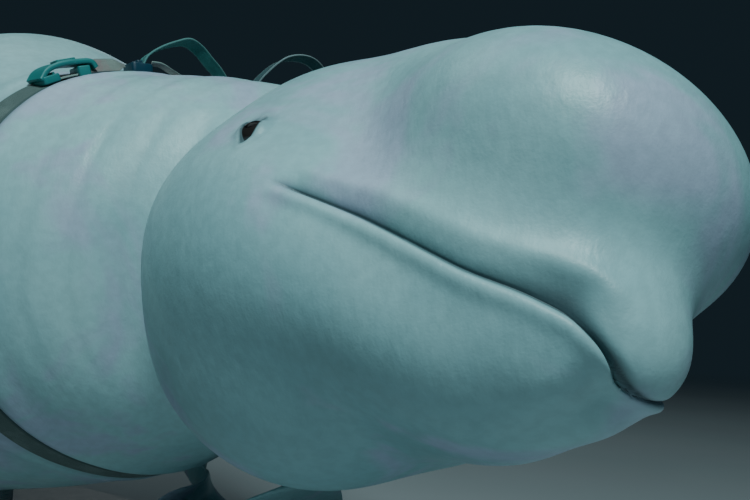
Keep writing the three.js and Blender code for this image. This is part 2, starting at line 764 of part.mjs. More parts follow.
function roundedOutline(length, width, corner) {
  const x = length / 2 - corner;
  const y = width / 2 - corner;
  const shape = new THREE.Shape();
  shape.absarc(x, y, corner, 0, Math.PI / 2, false);
  shape.absarc(-x, y, corner, Math.PI / 2, Math.PI, false);
  shape.absarc(-x, -y, corner, Math.PI, 1.5 * Math.PI, false);
  shape.absarc(x, -y, corner, 1.5 * Math.PI, 2 * Math.PI, false);
  return shape;
}

function roundedSlab({ length, width, thick, corner }) {
  const shape = roundedOutline(length, width, corner);
  return new THREE.ExtrudeGeometry(shape, { depth: thick, bevelEnabled: false, curveSegments: 3 });
}

// A flat webbing strip swept along places on the strap; its face turns forward on the way
function webbingLoop(places) {
  const curve = new THREE.CatmullRomCurve3(places.map((place) => new THREE.Vector3(...onStrap(place))));
  const stations = 22;
  const rings = [];
  for (let i = 0; i <= stations; i += 1) {
    const at = curve.getPointAt(i / stations).toArray();
    const way = curve.getTangentAt(i / stations).toArray();
    const flat = unit(cross(way, [1, 0, 0]));
    const level = cross(flat, way);
    const [first, last] = WEBBING_LOOP.turned;
    const turn = (first + (last - first) * smooth(i / stations, ...WEBBING_LOOP.turning)) * DEGREE;
    const face = flat.map((v, k) => v * Math.cos(turn) + level[k] * Math.sin(turn));
    const side = cross(face, way);
    const corner = (a, b) => at.map((v, k) => {
      return v + (side[k] * a * WEBBING_LOOP.width + face[k] * b * WEBBING_LOOP.thick) / 2;
    });
    rings.push([corner(-1, -1), corner(1, -1), corner(1, 1), corner(-1, 1)]);
  }
  return solidOfRings(rings);
}

// The pale end of the webbing, standing on its edge on the strap and cut to a blunt point
function strapEnd() {
  const steps = 8;
  const rings = [];
  const [front, rear] = [BAND.forward + BAND.thick / 2, BAND.forward - BAND.thick / 2];
  for (let i = 0; i <= steps; i += 1) {
    const degrees = BAND.angles[0] + ((BAND.angles[1] - BAND.angles[0]) * i) / steps;
    const high = (i === steps ? BAND.point : 1) * BAND.width;
    const edge = (forward, lift) => onStrap([degrees, lift, forward]);
    const top = STRAP.thick + high;
    rings.push([edge(rear, -2), edge(front, -2), edge(front, top), edge(rear, top)]);
  }
  return solidOfRings(rings);
}

// The buckle's side outline carried across the webbing
function buckleBridge(swell) {
  const shape = new THREE.Shape(BUCKLE.outline.map(([x, y]) => new THREE.Vector2(x, y)));
  const depth = BUCKLE.width + 2 * swell;
  const geometry = new THREE.ExtrudeGeometry(shape, { depth, bevelEnabled: false });
  geometry.translate(0, 0, -depth / 2);
  geometry.rotateX(Math.PI / 2);
  return geometry;
}

// Stand

function standBase(top, centre) {
  const { length, width, corner, thick } = BASE;
  const shape = roundedOutline(length, width, corner);
  const geometry = new THREE.ExtrudeGeometry(shape, { depth: thick, bevelEnabled: false, curveSegments: 8 });
  geometry.translate(centre[0], centre[1], top - thick);
  return toSolid(geometry);
}

function standRod(foot, height) {
  const profile = [
    [0, 0], [ROD.flange, 0], [ROD.flange, ROD.flangeThick],
    [ROD.radius, ROD.flangeThick], [ROD.radius, height], [0, height],
  ];
  const geometry = new THREE.LatheGeometry(profile.map(([r, z]) => new THREE.Vector2(r, z)), 24);
  geometry.rotateX(Math.PI / 2);
  geometry.translate(...foot);
  return toSolid(geometry);
}

// Everything together

function material(colour, roughness, metalness = 0) {
  return new THREE.MeshStandardMaterial({ color: colour, roughness, metalness });
}

const SKIN = material(COLOURS.skin, 0.45);
const EYES = material(COLOURS.eye, 0.1);
const WEBBING = material(COLOURS.webbing, 0.85);
const BUCKLE_PLASTIC = material(COLOURS.buckle, 0.4);
const BAND_CLOTH = material(COLOURS.band, 0.8);
const HARDWARE = material(COLOURS.hardware, 0.45);
const LOOP_WEBBING = material(COLOURS.loop, 0.85);
const BASE_PAINT = material(COLOURS.base, 0.6);
const ROD_METAL = material(COLOURS.rod, 0.3, 0.9);

const whale = new THREE.Group();
whale.name = 'beluga';

function addNode(name, geometry, look) {
  const mesh = new THREE.Mesh(geometry, look);
  mesh.name = name;
  whale.add(mesh);
  return mesh;
}

const neckRing = ringAt(PARTS.neck);
const headRings = [
  ...headFan(), ...HEAD_STATIONS.map((behind) => ringAt(behind)), shifted(neckRing, GAP / 2),
];
const swollenTrunk = wholeTrunk(GAP);

const flesh = {
  ...headParts(headRings, beakTip()),
  neck: trunkLength(PARTS.neck, NECK_STATIONS, PARTS.chest),
  chest: trunkLength(PARTS.chest, CHEST_STATIONS, PARTS.torso),
  torso: trunkLength(PARTS.torso, TORSO_STATIONS, PARTS.rear),
  rear_torso: trunkLength(PARTS.rear, REAR_STATIONS, PARTS.stock),
  tail_stock: tailStock(),
  ...flukePair(),
};

Object.entries(flesh).forEach(([name, solid]) => addNode(name, toGeometry(solid, bodyPose), SKIN));

const posedTrunk = toSolid(toGeometry(swollenTrunk, bodyPose));
[['flipper_left', 1, FLIPPER_LEFT], ['flipper_right', -1, FLIPPER_RIGHT]].forEach(([name, side, shape]) => {
  const whole = toSolid(toGeometry(flipper(side, shape), trunkPose));
  addNode(name, toGeometry(largest(whole.subtract(posedTrunk))), SKIN);
});
addNode('eye_left', toGeometry(ballAt(eyeCentre(1), EYE.ball), bodyPose), EYES);
addNode('eye_right', toGeometry(ballAt(eyeCentre(-1), EYE.ball), bodyPose), EYES);

const strap = closedLoopSolid(bandRing(STRAP.width, -STRAP.sink, STRAP.thick)).subtract(swollenTrunk);
addNode('harness_strap', toGeometry(largest(strap), bodyPose), WEBBING);

// Each piece sits on what was laid before it
const swollenStrap = bandRing(STRAP.width + 2 * GAP, -STRAP.sink, STRAP.thick + GAP);
let covered = closedLoopSolid(swollenStrap).add(swollenTrunk);
function seat(name, solid, look, swollen) {
  addNode(name, toGeometry(largest(solid.subtract(covered)), bodyPose), look);
  covered = covered.add(swollen);
}

function grown(slab) {
  const { length, width, thick, corner } = slab;
  return roundedSlab({ length: length + 2 * GAP, width: width + 2 * GAP, thick: thick + 2 * GAP, corner });
}

const BUCKLE_LIFT = -1;
const BUCKLE_TOP = Math.max(...BUCKLE.outline.map(([, high]) => high));
const LATCH_LIFT = BUCKLE_LIFT + BUCKLE_TOP - 1;
seat(
  'buckle_frame', laidOnStrap(buckleBridge(0), BUCKLE.angle, BUCKLE_LIFT), BUCKLE_PLASTIC,
  laidOnStrap(buckleBridge(GAP), BUCKLE.angle, BUCKLE_LIFT + GAP),
);
seat(
  'buckle_latch', laidOnStrap(roundedSlab(LATCH), LATCH.angle, LATCH_LIFT), BUCKLE_PLASTIC,
  laidOnStrap(grown(LATCH), LATCH.angle, LATCH_LIFT - GAP),
);
seat(
  'mount_block', laidOnStrap(roundedSlab(MOUNT), MOUNT.angle, -1), HARDWARE,
  laidOnStrap(grown(MOUNT), MOUNT.angle, -1 - GAP),
);
addNode('strap_end', toGeometry(largest(strapEnd().subtract(covered)), bodyPose), BAND_CLOTH);
const loopSolid = (places) => toGeometry(largest(webbingLoop(places).subtract(covered)), bodyPose);
addNode('handle_loop', loopSolid(HANDLE_LOOP), LOOP_WEBBING);
addNode('far_loop', loopSolid(FAR_LOOP), LOOP_WEBBING);

const bodyBox = new THREE.Box3().setFromObject(whale);
const baseTop = bodyBox.min.z - BASE.clearance;
const baseCentre = bodyPose([-BASE.behind, 0, axisHeight(BASE.behind)]);
addNode('stand_base', toGeometry(standBase(baseTop, baseCentre)), BASE_PAINT);
ROD.behind.forEach((behind, i) => {
  const above = bodyPose([-behind, 0, axisHeight(behind)]);
  const foot = [above[0], above[1], baseTop + GAP];
  const rod = standRod(foot, above[2] - foot[2]).subtract(posedTrunk);
  addNode(i === 0 ? 'stand_rod_front' : 'stand_rod_rear', toGeometry(largest(rod)), ROD_METAL);
});

const box = new THREE.Box3().setFromObject(whale);
const middle = box.getCenter(new THREE.Vector3());
whale.position.set(-middle.x, -middle.y, -box.min.z);

export default whale;
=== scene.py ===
"""A life-size beluga whale banking over its display stand, dressed for a studio picture.

The animal is shaped in a straight frame, in millimetres: X forward from the root of the beak, Y to its left,
Z up. A pose then bends the neck and the tail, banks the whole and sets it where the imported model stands.
"""

import logging
import math
from dataclasses import dataclass, field
from enum import Enum
from typing import Sequence

import bpy
import numpy as np
from mathutils import Matrix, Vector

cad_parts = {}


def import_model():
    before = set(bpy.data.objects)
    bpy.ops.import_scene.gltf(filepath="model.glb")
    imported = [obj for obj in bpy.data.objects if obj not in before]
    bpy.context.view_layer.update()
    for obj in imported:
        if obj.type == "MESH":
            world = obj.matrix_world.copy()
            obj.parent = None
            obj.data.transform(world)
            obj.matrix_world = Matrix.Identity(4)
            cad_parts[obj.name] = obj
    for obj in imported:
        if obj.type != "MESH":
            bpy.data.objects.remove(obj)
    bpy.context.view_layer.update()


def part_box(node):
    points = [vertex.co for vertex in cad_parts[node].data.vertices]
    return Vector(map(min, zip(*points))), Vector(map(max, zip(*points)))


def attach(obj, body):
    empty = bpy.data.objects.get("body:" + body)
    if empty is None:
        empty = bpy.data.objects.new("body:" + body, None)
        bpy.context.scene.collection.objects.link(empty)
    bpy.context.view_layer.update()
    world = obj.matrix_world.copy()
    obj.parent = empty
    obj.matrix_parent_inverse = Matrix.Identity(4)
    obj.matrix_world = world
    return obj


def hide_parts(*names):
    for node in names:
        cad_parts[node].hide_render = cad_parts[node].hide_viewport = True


Array = np.ndarray
MM = 0.001
LOG = logging.getLogger("beluga")


# Small sums


def smooth(value: Array, start: float, end: float) -> Array:
    """A share from 0 at start to 1 at end, level at both: t squared times (3 - 2t)."""
    t = np.clip((np.asarray(value, float) - start) / (end - start), 0.0, 1.0)
    return t * t * (3.0 - 2.0 * t)


def bell(offset: Array, reach: float) -> Array:
    """A hump of height 1: e to the minus (offset / reach) squared."""
    return np.exp(-((np.asarray(offset, float) / reach) ** 2))


def unit(vectors: Array) -> Array:
    """The vectors at length 1."""
    vectors = np.asarray(vectors, float)
    return vectors / np.maximum(np.linalg.norm(vectors, axis=-1, keepdims=True), 1e-12)


def mix(a: Array, b: Array, share: Array) -> Array:
    """a where share is 0, b where it is 1."""
    return a + (b - a) * share


class SmoothCurve:
    """A cubic through points that never overshoots them."""

    def __init__(self, points: Sequence[Sequence[float]]) -> None:
        """Finds the tangents: the weighted harmonic mean of the two slopes at a point, or 0 where they turn.

        Args:
            points: pairs of place and value, in rising order of place.
        """
        self.place, self.value = np.array(points, float).T
        self.step = np.diff(self.place)
        slope = np.diff(self.value) / self.step
        before, after = slope[:-1], slope[1:]
        a = 2 * self.step[1:] + self.step[:-1]
        b = self.step[1:] + 2 * self.step[:-1]
        inner = np.zeros(len(before))
        same = before * after > 0
        inner[same] = (a + b)[same] / (a[same] / before[same] + b[same] / after[same])
        self.tangent = np.concatenate([slope[:1], inner, slope[-1:]])

    def __call__(self, place: Array) -> Array:
        """The value at a place, by the cubic of the stretch that holds it.

        Args:
            place: one place or many.

        Returns:
            A value for each.
        """
        x = np.clip(place, self.place[0], self.place[-1])
        i = np.clip(np.searchsorted(self.place, x, side="left") - 1, 0, len(self.step) - 1)
        h = self.step[i]
        t = (x - self.place[i]) / h
        near = self.value[i] * (1 + 2 * t) * (1 - t) ** 2 + self.tangent[i] * h * t * (1 - t) ** 2
        far = self.value[i + 1] * (3 - 2 * t) * t * t + self.tangent[i + 1] * h * t * t * (t - 1)
        return near + far


def turn_matrices(vectors: Array) -> Array:
    """Rotation matrices of rotation vectors: 1 + sin(a) K + (1 - cos(a)) K squared.

    Args:
        vectors: rotation vectors in radians.

    Returns:
        One matrix for each.
    """
    vectors = np.atleast_2d(np.asarray(vectors, float))
    angle = np.linalg.norm(vectors, axis=1)
    axis = vectors / np.maximum(angle, 1e-12)[:, None]
    k = np.zeros((len(vectors), 3, 3))
    k[:, 0, 1], k[:, 0, 2], k[:, 1, 2] = -axis[:, 2], axis[:, 1], -axis[:, 0]
    k -= np.swapaxes(k, 1, 2)
    return np.eye(3) + np.sin(angle)[:, None, None] * k + (1 - np.cos(angle))[:, None, None] * (k @ k)


# The animal's surface


class Side(Enum):
    """The animal's two sides, with the sign of Y there."""

    LEFT = 1
    RIGHT = -1


@dataclass(frozen=True)
class BodyShape:
    """The smooth body in the straight frame: rounded forms for the head melted into a trunk."""

    forms: tuple = (
        ((-432, 0, 14), (230, 194, 210)),
        ((-294, 0, 128), (158, 131, 126)),
        ((-155, 0, 125), (158, 152, 110)),
        ((-210, 0, 4), (176, 128, 79)),
        ((-193, 0, 43), (149, 110, 63)),
        ((-63, 0, 7), (85, 65, 55)),
        ((-110, 0, -32), (94, 57, 30)),
        ((-228, 0, -60), (170, 132, 78)),
        ((-393, 0, -96), (201, 173, 165)),
        ((-366, 113, -50), (181, 104, 114)),
    )
    trunk: tuple = (
        (420, 150, -200, 152),
        (500, 163, -231, 188),
        (600, 204, -276, 229),
        (800, 204, -351, 314),
        (1050, 336, -410, 372),
        (1500, 352, -465, 415),
        (2000, 338, -450, 398),
        (2500, 272, -375, 318),
        (3000, 175, -262, 212),
        (3400, 105, -175, 122),
        (3700, 62, -118, 62),
        (3900, 40, -80, 44),
        (4050, 22, -50, 30),
    )
    mouth_line: tuple = (
        (-22, -24), (-17, -15), (-7, -7), (8, -2.2), (24, -3), (80, -9), (165, -7), (241, -16),
    )
    gape: float = 241.0
    blend: float = 20.0
    squareness: float = 2.15
    trunk_start: float = 342.0
    trunk_nose: tuple = (340.0, 560.0)
    far_off: float = 400.0
    march: tuple = (12.0, 16.0)
    halvings: int = 15
    mouth_tries: int = 4
    mouth_fades: tuple = (60.0, 640.0)
    mouth_steepest: float = 0.6
    hub: tuple = (-260.0, 0.0, -8.0)
    axis_settles: float = 700.0
    tip_droop: float = 0.05
    fold_depth: float = 35.0
    fold_place: tuple = (529.0, 63.0)
    fold_side: tuple = (30.0, 140.0)
    curves: dict = field(init=False, default_factory=dict, compare=False)

    def __post_init__(self) -> None:
        """Makes the curves of back, belly, half width and mouth line."""
        table = np.array(self.trunk, float)
        for column, name in enumerate(("back", "belly", "wide"), start=1):
            self.curves[name] = SmoothCurve(table[:, [0, column]])
        self.curves["mouth"] = SmoothCurve(self.mouth_line)

    def form_distance(self, points: Array, middle: Sequence[float], half: Sequence[float]) -> Array:
        """Rough distance from a rounded form: m (m - 1) over the gradient of m, where m is the form's norm.

        Args:
            points: places in the straight frame.
            middle: the form's middle; off the mid plane it stands for a mirrored pair.
            half: its three half sizes.

        Returns:
            Distances, below zero inside.
        """
        at = points.copy()
        if middle[1]:
            at[..., 1] = np.abs(at[..., 1])
        ratio = (at - np.array(middle, float)) / np.array(half, float)
        size = np.sqrt((ratio**2).sum(-1)) + 1e-9
        slope = np.sqrt(((ratio / np.array(half, float)) ** 2).sum(-1)) + 1e-12
        return size * (size - 1) / slope

    def trunk_distance(self, points: Array) -> Array:
        """Rough distance from the trunk, a squarish oval at each station with a rounded front end.

        Args:
            points: places in the straight frame.

        Returns:
            Distances, below zero inside.
        """
        behind = -points[..., 0]
        back, belly, wide = (self.curves[name](behind) for name in ("back", "belly", "wide"))
        start, end = self.trunk_nose
        nose = np.clip((end - behind) / (end - start), 0, 0.999)
        scale = np.sqrt(1 - nose**2)
        tall = (back - belly) / 2
        n = self.squareness
        across = (np.abs(points[..., 1]) / (wide * scale)) ** n
        up = (np.abs(points[..., 2] - (back + belly) / 2) / (tall * scale)) ** n
        distance = ((across + up) ** (1 / n) - 1) * np.minimum(wide, tall) * scale
        return np.where(behind < self.trunk_start, self.far_off, distance)

    def distance(self, points: Array) -> Array:
        """The melted distance: minus blend times the log of the sum of e to minus each distance over blend.

        Behind the right cheek a fold is taken out, where the head turns.

        Args:
            points: places in the straight frame.

        Returns:
            Distances, below zero inside.
        """
        parts = [self.form_distance(points, middle, half) for middle, half in self.forms]
        parts.append(self.trunk_distance(points))
        stack = np.stack(parts)
        nearest = stack.min(0)
        place, reach = self.fold_place
        side = smooth(-points[..., 1], *self.fold_side)
        fold = self.fold_depth * bell(-points[..., 0] - place, reach) * side
        return nearest - self.blend * np.log(np.exp((nearest - stack) / self.blend).sum(0)) + fold

    def reach(self, origins: Array, directions: Array) -> Array:
        """Distance from places inside the body to its surface: marched in even steps, then halved.

        Args:
            origins: places inside the body.
            directions: unit vectors, one for each place.

        Returns:
            One distance for each ray.
        """
        shape = np.broadcast_shapes(origins.shape, directions.shape)
        start = np.broadcast_to(origins, shape).reshape(-1, 3)
        way = np.broadcast_to(directions, shape).reshape(-1, 3)
        first, step = self.march
        near = np.full(len(start), first)
        active = np.arange(len(start))
        while active.size:
            ahead = start[active] + way[active] * (near[active] + step)[:, None]
            active = active[self.distance(ahead) < 0]
            near[active] += step
        far = near + step
        for _ in range(self.halvings):
            middle = (near + far) / 2
            inside = self.distance(start + way * middle[:, None]) < 0
            near = np.where(inside, middle, near)
            far = np.where(inside, far, middle)
        return ((near + far) / 2).reshape(shape[:-1])

    def axis_height(self, behind: Array) -> Array:
        """Height of the line that rings are cast from.

        Args:
            behind: distances behind the beak's root.

        Returns:
            A height for each.
        """
        behind = np.asarray(behind, float)
        middle = (self.curves["back"](behind) + self.curves["belly"](behind)) / 2
        t = np.clip((behind + self.hub[0]) / (self.axis_settles + self.hub[0]), 0, 1)
        return np.where(behind < self.axis_settles, self.hub[2] + (middle - self.hub[2]) * t, middle)

    def direction(self, angle: Array, lean: Array) -> Array:
        """Ray directions: round the body by angle, towards the beak by lean, the tip drooped a little.

        Args:
            angle: angles round the body.
            lean: how far each ray leans towards the beak.

        Returns:
            Unit vectors.
        """
        angle, lean = np.broadcast_arrays(angle, lean)
        droop = -self.tip_droop * np.sin(lean) ** 8
        parts = [np.sin(lean), np.cos(lean) * np.cos(angle), np.cos(lean) * np.sin(angle) + droop]
        return unit(np.stack(parts, -1))

    def mouth_angle(self, origins: Array, lean: Array) -> Array:
        """Angle at which each ring meets the mouth line, or its level line further back.

        Args:
            origins: a place on the axis for each ring.
            lean: the lean of each ring.

        Returns:
            One angle for each ring, faded out behind the head.
        """
        angle = np.zeros(len(origins))
        for _ in range(self.mouth_tries):
            way = self.direction(angle, lean)
            reach = self.reach(origins, way)
            behind = -(origins + way * reach[:, None])[:, 0]
            rise = self.curves["mouth"](behind) - origins[:, 2] + self.tip_droop * np.sin(lean) ** 8 * reach
            slope = rise / np.maximum(reach * np.cos(lean), self.march[0])
            angle = np.arcsin(np.clip(slope, -self.mouth_steepest, self.mouth_steepest))
        past, end = self.mouth_fades
        return angle * (1 - smooth(-origins[:, 0], self.gape + past, end))

    def on_ring(self, behind: Array, angle: Array, lift: Array = 0.0) -> Array:
        """Places on the smooth body, or lifted off it, on rings at a distance behind the beak.

        Args:
            behind: distance behind the beak's root.
            angle: angle round the ring, from the left over the back.
            lift: height over the skin.

        Returns:
            Places in the straight frame.
        """
        behind, angle, lift = np.broadcast_arrays(np.asarray(behind, float), angle, lift)
        origins = np.stack([-behind, np.zeros_like(behind), self.axis_height(behind)], -1)
        way = self.direction(angle, np.zeros_like(angle))
        return origins + way * (self.reach(origins, way) + lift)[..., None]

    def normal(self, points: Array) -> Array:
        """Outward unit vectors at places near the surface, from differences over 1 mm."""
        parts = [self.distance(points + step) - self.distance(points - step) for step in np.eye(3)]
        return unit(np.stack(parts, -1))


@dataclass(frozen=True)
class Pose:
    """Bends neck and tail along a spine, levels the trunk, banks the whole and moves it over the stand."""

    neck_turn: tuple = (3.0, -24.0, 18.5)
    neck_zone: tuple = (426.0, 747.0)
    tail_droop: float = -7.0
    tail_zone: tuple = (2500.0, 3700.0)
    pivot_height: float = -20.0
    bank: float = -22.0
    step: float = 5.0
    end: float = 4300.0
    trunk_pivot: float = 1000.0
    parts: dict = field(init=False, default_factory=dict, compare=False)

    def __post_init__(self) -> None:
        """Adds up the spine: each step back turned by the mean of the turns at its two ends."""
        behind = np.arange(0, self.end + self.step / 2, self.step)
        neck = turn_matrices(np.radians(self.neck_turn) * smooth(behind, *self.neck_zone)[:, None])
        droop = np.zeros((len(behind), 3))
        droop[:, 1] = math.radians(self.tail_droop) * smooth(behind, *self.tail_zone)
        turns = neck @ turn_matrices(droop)
        steps = -self.step * turns[:, :, 0]
        places = np.cumsum((steps[1:] + steps[:-1]) / 2, 0) + [0, 0, self.pivot_height]
        self.parts["turns"] = turns
        self.parts["places"] = np.concatenate([[[0, 0, self.pivot_height]], places])
        level = turn_matrices(np.radians(self.neck_turn))[0].T
        roll = turn_matrices([math.radians(self.bank), 0, 0])[0]
        self.parts["whole"] = roll @ level
        self.parts["shift"] = np.zeros(3)

    def settle(self, shift: Array) -> None:
        """Keeps the last move, from the banked place to the stand, in millimetres."""
        self.parts["shift"] = np.asarray(shift, float)

    def whole(self, points: Array) -> Array:
        """Levels, banks and moves places that are already bent. The head needs no bend."""
        return points @ self.parts["whole"].T + self.parts["shift"]

    def body(self, points: Array) -> Array:
        """Poses places of the body: each is carried by the spine beside it, between two of its stations.

        Args:
            points: places in the straight frame.

        Returns:
            Places over the stand.
        """
        turns, places = self.parts["turns"], self.parts["places"]
        behind = np.maximum(-points[..., 0], 0)
        station = np.clip(np.floor(behind / self.step).astype(int), 0, len(turns) - 2)
        share = (behind / self.step - station)[..., None]
        ahead = np.maximum(points[..., 0], 0)
        offset = np.stack([ahead, points[..., 1], points[..., 2] - self.pivot_height], -1)
        near = np.einsum("...ij,...j->...i", turns[station], offset) + places[station]
        far = np.einsum("...ij,...j->...i", turns[station + 1], offset) + places[station + 1]
        return self.whole(mix(near, far, share))

    def trunk(self, points: Array) -> Array:
        """Poses places that hang from the trunk, rigidly.

        Args:
            points: places in the straight frame.

        Returns:
            Places over the stand.
        """
        i = int(self.trunk_pivot / self.step)
        offset = points - np.array([-self.trunk_pivot, 0, self.pivot_height])
        return self.whole(offset @ self.parts["turns"][i].T + self.parts["places"][i])


# Meshes and materials


def grid_quads(rows: int, columns: int, wrap_rows: bool = False, wrap_columns: bool = False) -> Array:
    """Four corners for each cell of a grid of points, row by row.

    Args:
        rows: how many rows.
        columns: how many columns.
        wrap_rows: whether the last row meets the first.
        wrap_columns: whether the last column meets the first.

    Returns:
        Corner numbers, four to a cell.
    """
    index = np.arange(rows * columns).reshape(rows, columns)
    if wrap_rows:
        index = np.concatenate([index, index[:1]])
    if wrap_columns:
        index = np.concatenate([index, index[:, :1]], 1)
    corners = [index[:-1, :-1], index[:-1, 1:], index[1:, 1:], index[1:, :-1]]
    return np.stack(corners, -1).reshape(-1, 4)


def fan(centre: int, loop: Array) -> Array:
    """Triangles from a centre point to each side of a closed loop."""
    return np.stack([np.full(len(loop), centre), loop, np.roll(loop, -1)], -1)


def end_fans(rows: int, columns: int) -> Array:
    """Fans over the first and last ring of a tube, whose centres are the two points after the rings."""
    first = fan(rows * columns, np.arange(columns))[:, ::-1]
    return np.concatenate([first, fan(rows * columns + 1, (rows - 1) * columns + np.arange(columns))])


def volume_of(points: Array, quads: Array, triangles: Array) -> float:
    """Signed volume of a closed mesh, from the tetrahedra of its triangles.

    Args:
        points: its points.
        quads: its four-sided faces.
        triangles: its three-sided ones.

    Returns:
        The volume, above zero where the faces point outwards.
    """
    parts = [quads[:, [0, 1, 2]], quads[:, [0, 2, 3]], triangles]
    a, b, c = (points[np.concatenate(parts)[:, k]] for k in range(3))
    return float((a * np.cross(b, c)).sum() / 6)


@dataclass
class Surface:
    """Points in metres with four-sided and three-sided faces, and what a material reads off them."""

    points: Array
    quads: Array
    triangles: Array = field(default_factory=lambda: np.zeros((0, 3), int))
    marks: dict = field(default_factory=dict)
    weave: Array | None = None

    def facing_out(self) -> "Surface":
        """The surface, turned over as a whole where its signed volume is below zero.

        Returns:
            This surface or its turned copy.
        """
        if volume_of(self.points, self.quads, self.triangles) < 0:
            weave = self.weave
            if weave is not None:
                count = len(self.quads)
                weave = np.concatenate([weave[:count][:, ::-1], weave[count:]]) if count else weave
            return Surface(self.points, self.quads[:, ::-1], self.triangles[:, ::-1], self.marks, weave)
        return self

    def piece(self, name: str, material: bpy.types.Material, slot: str) -> bpy.types.Object:
        """Puts the surface into a smoothly shaded mesh object that rides on the whale.

        Args:
            name: the piece's name.
            material: its finish.
            slot: the record's material slot; not used.

        Returns:
            The new object.
        """
        mesh = bpy.data.meshes.new(name)
        loops = np.concatenate([self.quads.ravel(), self.triangles.ravel()]).astype(np.int32)
        sizes = np.concatenate([np.full(len(self.quads), 4), np.full(len(self.triangles), 3)])
        mesh.vertices.add(len(self.points))
        mesh.vertices.foreach_set("co", self.points.astype(np.float32).ravel())
        mesh.loops.add(len(loops))
        mesh.loops.foreach_set("vertex_index", loops)
        mesh.polygons.add(len(sizes))
        mesh.polygons.foreach_set("loop_start", np.concatenate([[0], np.cumsum(sizes)[:-1]]).astype(np.int32))
        mesh.polygons.foreach_set("use_smooth", np.full(len(sizes), True))
        mesh.update(calc_edges=True)
        for mark, values in self.marks.items():
            layer = mesh.attributes.new(mark, "FLOAT", "POINT")
            layer.data.foreach_set("value", np.asarray(values, np.float32))
        if self.weave is not None:
            layer = mesh.uv_layers.new(name="weave")
            layer.data.foreach_set("uv", self.weave.astype(np.float32).ravel())
        mesh.validate()
        mesh.materials.append(material)
        piece = bpy.data.objects.new(name, mesh)
        bpy.context.scene.collection.objects.link(piece)
        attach(piece, "root")
        return piece


